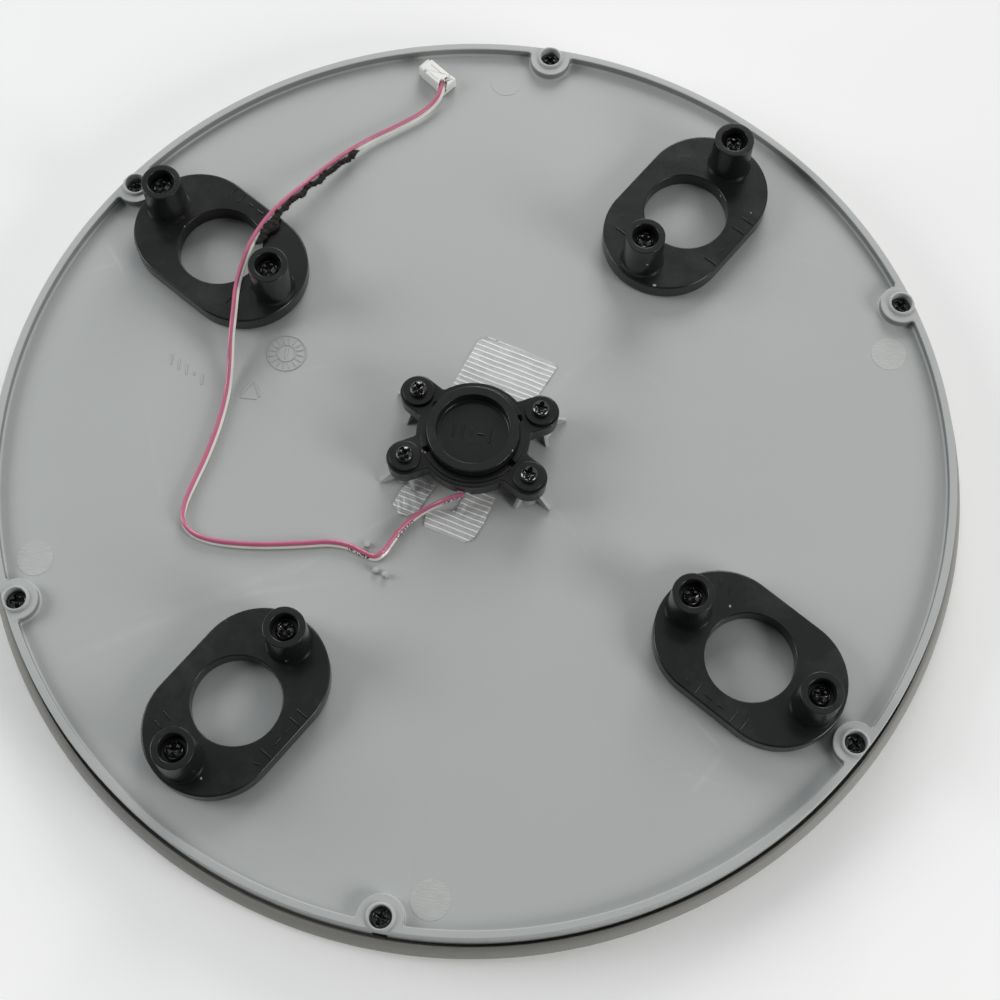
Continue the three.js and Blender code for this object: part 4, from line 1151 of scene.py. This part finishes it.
def stadiumLine(offset, radius, sides):
    # by angle: on the straight sides radius / |sin a|, and on the round ends the far side of their circle
    a = np.linspace(0, 2 * pi, sides, endpoint=False)
    straight = radius / np.maximum(np.abs(np.sin(a)), 1e-6)
    ends = offset * np.abs(np.cos(a)) + np.sqrt(radius**2 - (offset * np.sin(a)) ** 2)
    reach = np.where(np.abs(straight * np.cos(a)) <= offset, straight, ends)
    return np.stack([reach * np.cos(a), reach * np.sin(a)], -1)


# rows of an outline from low to high with both rims rounded; edges: low, high, radii
def roundedRows(line, edges):
    low, high, lowEdge, highEdge = edges
    t = np.linspace(0, pi / 2, 6)
    foot = np.stack([-lowEdge * (1 - np.sin(t)), low + lowEdge * (1 - np.cos(t))], -1)
    head = np.stack([-highEdge * (1 - np.cos(t)), high - highEdge * (1 - np.sin(t))], -1)
    return rowsOf(line, np.concatenate([foot, head]))


def footSkins(spec, marks):
    # the plate is one closed loop of rows: up the stadium outside, across, and down inside the round hole
    outside = roundedRows(
        stadiumLine(spec["endOffset"], spec["endRadius"], spec["sides"]),
        (spec["low"], spec["top"], 0.3, spec["bevel"])
    )
    inside = roundedRows(circleLine(spec["hole"], spec["sides"])[::-1], (spec["low"], spec["top"], 0.2, 0.35))
    inside = np.roll(inside[::-1, ::-1], 1, axis=1)
    pieces = [skin(np.concatenate([outside, inside]), wrapRows=True)]
    top, flare, seat = spec["top"], spec["postFoot"], spec["seat"]
    post = [
        [0, top - 1], [flare + 0.7, top - 1], [flare + 0.45, top + 0.1], [flare - 0.02, top + 0.9],
        [spec["postTopRadius"], spec["postTop"]], [spec["bore"], spec["postTop"]],
        [spec["bore"] - 0.12, seat], [1.6, seat], [1.6, top], [0, top],
    ]
    post = softened(post, [0, 0, 0.3, 0.6, 0.28, 0.35, 0.1, 0, 0, 0], 5, closed=False)
    pieces += [placed(turned(post, 72), 0, (side * spec["postSpread"], 0)) for side in (-1, 1)]
    for right, out, half, lean in marks:
        way = half * np.array([sin(radians(lean)), -cos(radians(lean))])
        at = np.array([out, -right])
        pieces.append(stroke(at - way, at + way, 0.42, spec["top"] - 0.1, spec["top"] + 0.27))
    return pieces


blackSatin = plasticMaterial("blackSatin", blackLook, Specular_IOR_Level=0.38)[0]
for i, (turn, marks) in enumerate(zip(foot["angles"], footMarks)):
    at = middleOf("foot_frame_%d" % (i + 1))[:2]
    ring = meshObject(
        "footFrame%d" % (i + 1), [placed(s, turn, at) for s in footSkins(foot, marks)], [blackSatin]
    )
    settle(ring, "foot_%d" % (i + 1), ["foot_frame_%d" % (i + 1)])
print("feet made")

# ---- screws ----
screw = {
    "head": 2.6, "headHeight": 2.0, "crossHalf": 1.95, "crossWidth": 0.42, "crossDepth": 1.45, "flare": 0.16,
    "crossEdge": 0.27,
    "shank": 1.35, "thread": 0.22, "pitch": 1.1,
}
screwLook = {
    "colour": (0.052, 0.053, 0.054), "cloud": 0.4, "cloudScale": 300.0, "grainScale": 2600.0,
    "roughness": 0.08, "roughSwing": 0.16, "bump": 0.1,
}
# the way each cross points, in degrees
screwTurns = {
    "foot_screw_1a": 24, "foot_screw_1b": 31, "foot_screw_2a": 0, "foot_screw_2b": 49, "foot_screw_3a": 17,
    "foot_screw_3b": -3,
    "foot_screw_4a": 54, "foot_screw_4b": 9, "rim_screw_1": 54, "rim_screw_6": 49, "rim_screw_5": 44,
    "rim_screw_4": -16,
    "sensor_screw_1": -6, "sensor_screw_2": 44, "sensor_screw_3": 39, "sensor_screw_4": -11,
}


def crossLine(half, width, flare, sides=16):
    # by angle from each arm: its end at half / cos, its flank at width / sin with the flare,
    # and a rounded corner between
    a = np.linspace(-pi / 4, pi / 4, sides, endpoint=False)
    end = half / np.cos(a)
    flank = (width + flare * np.abs(np.cos(a))) / np.maximum(np.abs(np.sin(a)), 1e-3)
    reach = (end**-7.0 + flank**-7.0) ** (-1 / 7)
    quarter = reach * np.exp(1j * a)
    line = (quarter[None] * np.exp(1j * np.arange(4) * pi / 2)[:, None]).ravel()
    return np.stack([line.real, line.imag], -1)


def headSkin(spec, seat, scale):
    # from the floor of the cross up its tapering walls, over the low dome and down the rounded side
    cross = crossLine(spec["crossHalf"] * scale, spec["crossWidth"], spec["flare"])
    a = np.arctan2(cross[:, 1], cross[:, 0])
    radius, top = spec["head"] * scale, seat + spec["headHeight"]
    dome = lambda r: top - 0.62 * (r / radius) ** 3.2
    reach = np.hypot(cross[:, 0], cross[:, 1])
    level = np.ones(len(cross))
    rows = [
        [cross * 0, level * (top - spec["crossDepth"] - 0.35)],
        [cross * 0.34, level * (top - spec["crossDepth"])]
    ]
    rows += [
        [cross * 0.86, level * (top - spec["crossDepth"] * 0.75)],
        [cross * 0.97, dome(reach) - 2 * spec["crossEdge"]], [cross, dome(reach) - spec["crossEdge"]]
    ]
    for share in (0.3, 0.65, 1.0):  # a quarter round all along the cross's rim
        drop = spec["crossEdge"] * (1 - (1 - (1 - share) ** 2) ** 0.5)
        rows.append([cross * (1 + share * spec["crossEdge"] / reach)[:, None], dome(reach) - drop])
    way = np.stack([np.cos(a), np.sin(a)], -1)
    for share in (0.35, 0.7):
        r = reach + spec["crossEdge"] + (radius * 0.93 - reach - spec["crossEdge"]) * share
        rows.append([way * r[:, None], dome(r)])
    for r, z in (
        (0.93, dome(radius * 0.93)), (0.985, dome(radius * 0.93) - 0.2), (1.0, dome(radius * 0.93) - 0.5),
        (1.0, seat + 0.12), (0.97, seat), (0.45, seat)
    ):
        rows.append([way * radius * r, level * z])
    return np.stack([np.concatenate([flat, z[:, None]], -1) for flat, z in rows])


def shankSkin(spec, seat, low):
    # a cylinder swollen along a helix: the thread's height follows the fraction of a turn left at each point
    z = np.linspace(seat + 0.1, low + 1.4, 110)
    a = np.linspace(0, 2 * pi, 24, endpoint=False)
    phase = (z[:, None] / spec["pitch"] - a[None] / (2 * pi)) % 1
    fade = np.clip(np.minimum((seat - 0.6 - z) / 0.8, (z - low) / 3), 0.1, 1)[:, None]
    r = spec["shank"] - spec["thread"] + spec["thread"] * np.clip(1 - np.abs(phase - 0.5) * 4.2, 0, 1) * fade
    tip = np.clip((z - low) / 2.4, 0.25, 1)[:, None]
    grid = np.stack([r * tip * np.cos(a), r * tip * np.sin(a), z[:, None] + 0 * a], -1)
    end = np.broadcast_to([0, 0, low + 0.1], (1, 24, 3))
    start = np.broadcast_to([0, 0, seat + 0.1], (1, 24, 3))
    return skin(np.concatenate([start, grid, end]))


def addScrew(node, name, body, scale, look):
    x, y = middleOf(node)[:2]
    low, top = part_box(node)[0][2] * 1000, topOf(node)
    seat = top - screw["headHeight"]
    head = headSkin(screw, seat, scale)
    turn = screwTurns.get(node, 20)
    piece = meshObject(
        name, [placed(capped(head), turn, (x, y)), placed(shankSkin(screw, seat, low), turn, (x, y))], [look],
        sharp=38
    )
    settle(piece, body, [node])


screwBlack = plasticMaterial("screwBlack", screwLook, Metallic=0.9, Coat_Weight=1.0, Coat_Roughness=0.05)[0]
for i, node in enumerate(rimNodes):
    addScrew(node, "rimScrew%d" % (i + 1), "chassis", 1.0, screwBlack)
for i, node in enumerate(hubNodes):
    addScrew(node, "sensorScrew%d" % (i + 1), "chassis", 0.9, screwBlack)
for node in footNodes:
    addScrew(node, "footScrew" + node[-2:], "foot_" + node[-2], 1.0, screwBlack)
print("screws made")

# ---- wake-up sensor hub ----
hub = {
    "radius": 15.6, "low": 17.7, "top": 23.4, "screwX": 17.04, "screwY": 9.82, "lobe": 5.05, "boss": 4.35,
    "bossTop": 24.5,
    "plateLow": 20.4, "drum": 14.9, "drumLow": 17.2, "cavity": 13.9, "hole": 11.7, "socket": 3.4, "lead": 3.6,
    "exitTop": 19.25,
    "step": 0.22, "stepHeight": 22.4, "ring": (14.35, 12.8), "ringTop": 23.9,
    "cap": 12.6, "capTop": 27.4, "recess": 10.1, "recessDepth": 3.2, "capFloor": 1.4, "slot": (1.8, 2.0),
}


def hubLine(spec, sides=480):
    # by angle: the round hub, or an arm where that reaches further, melted together where they meet
    a = np.linspace(0, 2 * pi, sides, endpoint=False)
    far, lobe = np.hypot(spec["screwX"], spec["screwY"]), spec["lobe"]
    reach = np.full(sides, spec["radius"])
    for x, y in ((1, 1), (-1, 1), (-1, -1), (1, -1)):
        off = (a - np.arctan2(y * spec["screwY"], x * spec["screwX"]) + pi) % (2 * pi) - pi
        end = far * np.cos(off) + np.sqrt(np.maximum(lobe**2 - (far * np.sin(off)) ** 2, 0))
        side = lobe / np.maximum(np.abs(np.sin(off)), 1e-6)
        arm = np.where(np.abs(off) < np.arctan2(lobe, far), end, side) * (np.abs(off) < pi / 2)
        reach = (reach**36 + arm**36) ** (1 / 36)
    reach = np.minimum(reach, far + lobe)
    return np.stack([reach * np.cos(a), reach * np.sin(a)], -1)


def hubSkins(spec):
    # a closed loop of rows: up the stepped side, across the top,
    # down the cap's hole and round the drum's wall
    line = hubLine(spec)
    t = np.linspace(0, pi / 2, 5)
    side = [[-spec["step"] - 0.2, spec["low"]], [-spec["step"], spec["low"] + 0.2], [
        -spec["step"], spec["stepHeight"]
    ],
            [0, spec["stepHeight"] + 0.15]]
    side += [[-0.3 * (1 - cos(u)), spec["top"] - 0.3 * (1 - sin(u))] for u in t]
    outer = rowsOf(line, side)
    way = line / np.linalg.norm(line, axis=1)[:, None]
    inside = [[spec["hole"], spec["top"]], [spec["hole"], spec["plateLow"]], [
        spec["cavity"], spec["plateLow"]
    ],
              [spec["cavity"], spec["drumLow"]], [spec["drum"], spec["drumLow"]], [spec["drum"], spec["low"]]]
    inner = [np.c_[way * r, np.full(len(way), z)] for r, z in inside]
    pieces = [skin(np.concatenate([outer, np.stack(inner)]), wrapRows=True)]
    outer, inner = spec["ring"]
    ring = softened([
        [inner, spec["top"] - 0.3], [outer, spec["top"] - 0.3], [outer, spec["ringTop"]],
        [inner, spec["ringTop"]]
    ],
                    [0, 0, 0.2, 0.12])
    pieces.append(turned(ring, 144, wrap=True))
    for node in hubNodes:
        boss = softened([[0, spec["top"] - 0.4], [spec["boss"], spec["top"] - 0.4], [
            spec["boss"], spec["bossTop"]
        ],
                         [0, spec["bossTop"]]], [0, 0, 0.25, 0], closed=False)
        pieces.append(placed(turned(boss, 56), 0, middleOf(node)[:2]))
    return pieces


def hubHollows(spec):
    middle = spec["cap"] + spec["slot"][0] / 2
    hollows = []
    for node in hubNodes:
        x, y = middleOf(node)[:2]
        cut = slab(boxLine(*spec["slot"], 0.2, (middle, 0)), spec["plateLow"] - 1, spec["top"] + 3, 0.01)
        hollows.append(placed(cut, np.degrees(np.arctan2(y, x))))
        hollows.append(slab(circleLine(spec["socket"], 40, (x, y)), spec["low"] - 1, spec["plateLow"], 0.01))
    return hollows + [
        slab(boxLine(spec["lead"], 14, 0.3, (0, -15.9)), spec["drumLow"] - 2, spec["exitTop"], 0.2)
    ]


def capSkins(spec):
    top, floor = spec["capTop"], spec["capTop"] - spec["recessDepth"]
    under = floor - spec["capFloor"]
    outline = [[0, floor], [spec["recess"] - 0.25, floor], [spec["recess"], top], [spec["cap"], top], [
        spec["cap"], 23.7
    ],
               [11.4, 23.7], [11.4, 20.7], [10.2, 20.7], [10.2, under], [0, under]]
    cap = turned(softened(outline, [0, 0.3, 0.18, 0.3, 0.1, 0, 0.1, 0.1, 0, 0], closed=False), 160)
    gate = turned(
        [[2.9, floor - 0.1], [3.1, floor - 0.1], [3.05, floor + 0.05], [2.95, floor + 0.05]], 64, wrap=True
    )
    pieces = [cap, placed(gate, 0, (1.0, -6.0))]
    for step, tall in ((-5.2, 1.9), (-2.9, 1.9), (-0.5, 0.8), (4.6, 1.9)):
        at = np.array([step, 0.1 - step * 0.03])
        pieces.append(stroke(at - (0, tall), at + (0, tall), 0.5, floor - 0.1, floor + 0.32))
    pieces.append(stroke((1.4, 0), (2.9, 0), 0.45, floor - 0.1, floor + 0.32))
    return pieces


sensorBody = meshObject("sensorBody", hubSkins(hub), [blackSatin])
carved(sensorBody, hubHollows(hub))
settle(sensorBody, "chassis", ["sensor_body"])
sensorCap = meshObject("sensorCap", capSkins(hub), [blackSatin])
settle(sensorCap, "chassis", ["sensor_cap"])
print("hub made")

# ---- finishes of the frame's own pieces ----
innerLooks = {
    "steelSheet": ({"colour": (
        0.46, 0.47, 0.48
    ), "cloud": 0.12, "cloudScale": 60.0, "grainScale": 3000.0, "roughness": 0.28,
                    "roughSwing": 0.2, "bump": 0.15}, {"Metallic": 1.0}),
    "plungerWhite": ({"colour": (
        0.78, 0.78, 0.75
    ), "cloud": 0.06, "cloudScale": 80.0, "grainScale": 2000.0, "roughness": 0.35,
                      "roughSwing": 0.1, "bump": 0.1}, {}),
    "boardGreen": ({"colour": (
        0.02, 0.13, 0.045
    ), "cloud": 0.4, "cloudScale": 240.0, "grainScale": 900.0, "roughness": 0.3,
                    "roughSwing": 0.1, "bump": 0.3}, {"Coat_Weight": 0.4}),
    "frameBlack": ({"colour": (
        0.02, 0.02, 0.022
    ), "cloud": 0.2, "cloudScale": 60.0, "grainScale": 1800.0, "roughness": 0.45,
                    "roughSwing": 0.1, "bump": 0.2}, {}),
    "windowSmoke": ({"colour": (
        0.02, 0.024, 0.028
    ), "cloud": 0.1, "cloudScale": 40.0, "grainScale": 200.0, "roughness": 0.06,
                     "roughSwing": 0.04, "bump": 0.01}, {"Coat_Weight": 0.6}),
    "lcdGlass": ({"colour": (
        0.30, 0.34, 0.27
    ), "cloud": 0.06, "cloudScale": 50.0, "grainScale": 400.0, "roughness": 0.12,
                  "roughSwing": 0.05, "bump": 0.02}, {}),
    "piezoBrass": ({"colour": (
        0.62, 0.44, 0.18
    ), "cloud": 0.2, "cloudScale": 120.0, "grainScale": 2600.0, "roughness": 0.25,
                    "roughSwing": 0.2, "bump": 0.15}, {"Metallic": 1.0}),
    "piezoCeramic": ({"colour": (
        0.72, 0.70, 0.62
    ), "cloud": 0.1, "cloudScale": 150.0, "grainScale": 2400.0, "roughness": 0.5,
                      "roughSwing": 0.1, "bump": 0.2}, {}),
    "padFoam": ({"colour": (
        0.03, 0.028, 0.026
    ), "cloud": 0.3, "cloudScale": 200.0, "grainScale": 1400.0, "roughness": 0.95,
                 "roughSwing": 0.05, "bump": 0.8}, {}),
    "contactTin": ({"colour": (
        0.62, 0.62, 0.61
    ), "cloud": 0.1, "cloudScale": 400.0, "grainScale": 3000.0, "roughness": 0.25,
                    "roughSwing": 0.15, "bump": 0.1}, {"Metallic": 1.0}),
}
innerFinish = {name: plasticMaterial(name, look, **fixed)[0] for name, (look, fixed) in innerLooks.items()}
innerNodes = {
    "steelSheet": ["load_cell_%d" % i for i in range(1, 5)],
    "plungerWhite": ["load_plunger_%d" % i for i in range(1, 5)],
    "boardGreen": ["main_board"], "frameBlack": ["display_frame"], "windowSmoke": ["display_window"],
    "lcdGlass": ["display_lcd"],
    "piezoBrass": ["piezo_disc"], "piezoCeramic": ["piezo_ceramic"], "padFoam": ["sensor_pad"],
    "contactTin": ["connector_contact_1", "connector_contact_2"],
}
for name, nodes in innerNodes.items():
    for node in nodes:
        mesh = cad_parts[node].data
        for i in range(max(len(mesh.materials), 1)):
            if i < len(mesh.materials):
                mesh.materials[i] = innerFinish[name]
            else:
                mesh.materials.append(innerFinish[name])
print("inner pieces finished")

# ---- table and light ----
studio = {
    # painted shade: the table's colour is darkened from its near to its far side, to cancel the light of the
    # lamp beyond it so that it looks even
    "tableNear": (0.955, 0.96, 0.95), "tableFarPaintedShade": (0.73, 0.735, 0.73), "nearEdge": -0.22, "farEdge": 0.34,
    # painted glow: the table also gives off a little light of its own
    "tablePaintedGlow": 0.09,
    "sky": (0.97, 0.985, 1.0), "skyStrength": 0.52,
    # the room is darker on the near side
    "dimWay": (-0.08, -0.75, 0.64), "dimStrength": 0.03, "dimInner": 0.86, "dimOuter": 0.30,
    # place, aim, size in metres, power in watts, tint
    "lamps": [
        ((0.05, 0.95, 0.52), (0, 0.03, 0), 0.6, 5.6, (1.0, 0.995, 0.98)),
        ((0.85, -0.34, 0.46), (0, 0, 0), 0.45, 4.3, (1.0, 0.99, 0.975)),
        ((-0.80, -0.02, 0.48), (0, 0, 0), 0.5, 3.5, (0.98, 0.99, 1.0)),
    ],
}


def addTable():
    mesh = bpy.data.meshes.new("table")
    mesh.from_pydata([(-4, -4, 0), (4, -4, 0), (4, 4, 0), (-4, 4, 0)], [], [(0, 1, 2, 3)])
    material, tree, shader = newMaterial("tableWhite", Roughness=0.55)
    surface = useGroup(tree, moulded, Cloud_Scale=3.0, Grain_Scale=900.0)
    spot = put(
        tree, "ShaderNodeSeparateXYZ", {"Vector": put(tree, "ShaderNodeTexCoord").outputs["Object"]}
    ).outputs["Y"]
    share = put(
        tree, "ShaderNodeMapRange",
        {"Value": spot, "From Min": studio["nearEdge"], "From Max": studio["farEdge"]}
    )
    # painted shade: the base colour darkens towards the far side
    base = put(
        tree, "ShaderNodeMix",
        {"Factor": share.outputs[0], "A": (*studio["tableNear"], 1), "B": (*studio["tableFarPaintedShade"], 1)},
        data_type="RGBA",
    )
    tree.links.new(
        shaded(tree, base.outputs["Result"], surface.outputs["Cloud"], 0.03), shader.inputs["Base Color"]
    )
    # painted glow: the table gives off a little light of its own, though it is no lamp
    shader.inputs["Emission Color"].default_value = (1, 1, 1, 1)
    shader.inputs["Emission Strength"].default_value = studio["tablePaintedGlow"]
    mesh.materials.append(material)
    table = bpy.data.objects.new("table", mesh)
    bpy.context.scene.collection.objects.link(table)


def addLamp(i, place, aim, size, power, tint):
    lamp = bpy.data.lights.new("lamp%d" % i, "AREA")
    lamp.shape, lamp.size, lamp.energy, lamp.color = "DISK", size, power, tint
    body = bpy.data.objects.new("lamp%d" % i, lamp)
    body.location = place
    body.rotation_euler = (Vector(aim) - Vector(place)).to_track_quat("-Z", "Y").to_euler()
    bpy.context.scene.collection.objects.link(body)


addTable()
for i, lamp in enumerate(studio["lamps"]):
    addLamp(i, *lamp)
world = bpy.data.worlds.new("studio")
world.use_nodes = True
sky = world.node_tree
way = put(sky, "ShaderNodeTexCoord").outputs["Generated"]
above = put(
    sky, "ShaderNodeVectorMath", {0: way, 1: Vector(studio["dimWay"]).normalized()}, operation="DOT_PRODUCT"
)
dim = put(
    sky, "ShaderNodeMapRange",
    {"Value": above.outputs["Value"], "From Min": studio["dimOuter"], "From Max": studio["dimInner"],
     "To Min": studio["skyStrength"], "To Max": studio["dimStrength"]},
    interpolation_type="SMOOTHSTEP",
)
sky.nodes["Background"].inputs["Color"].default_value = (*studio["sky"], 1)
sky.links.new(dim.outputs[0], sky.nodes["Background"].inputs["Strength"])
bpy.context.scene.world = world
bpy.context.scene.view_settings.view_transform = "Standard"
print("table and light set")
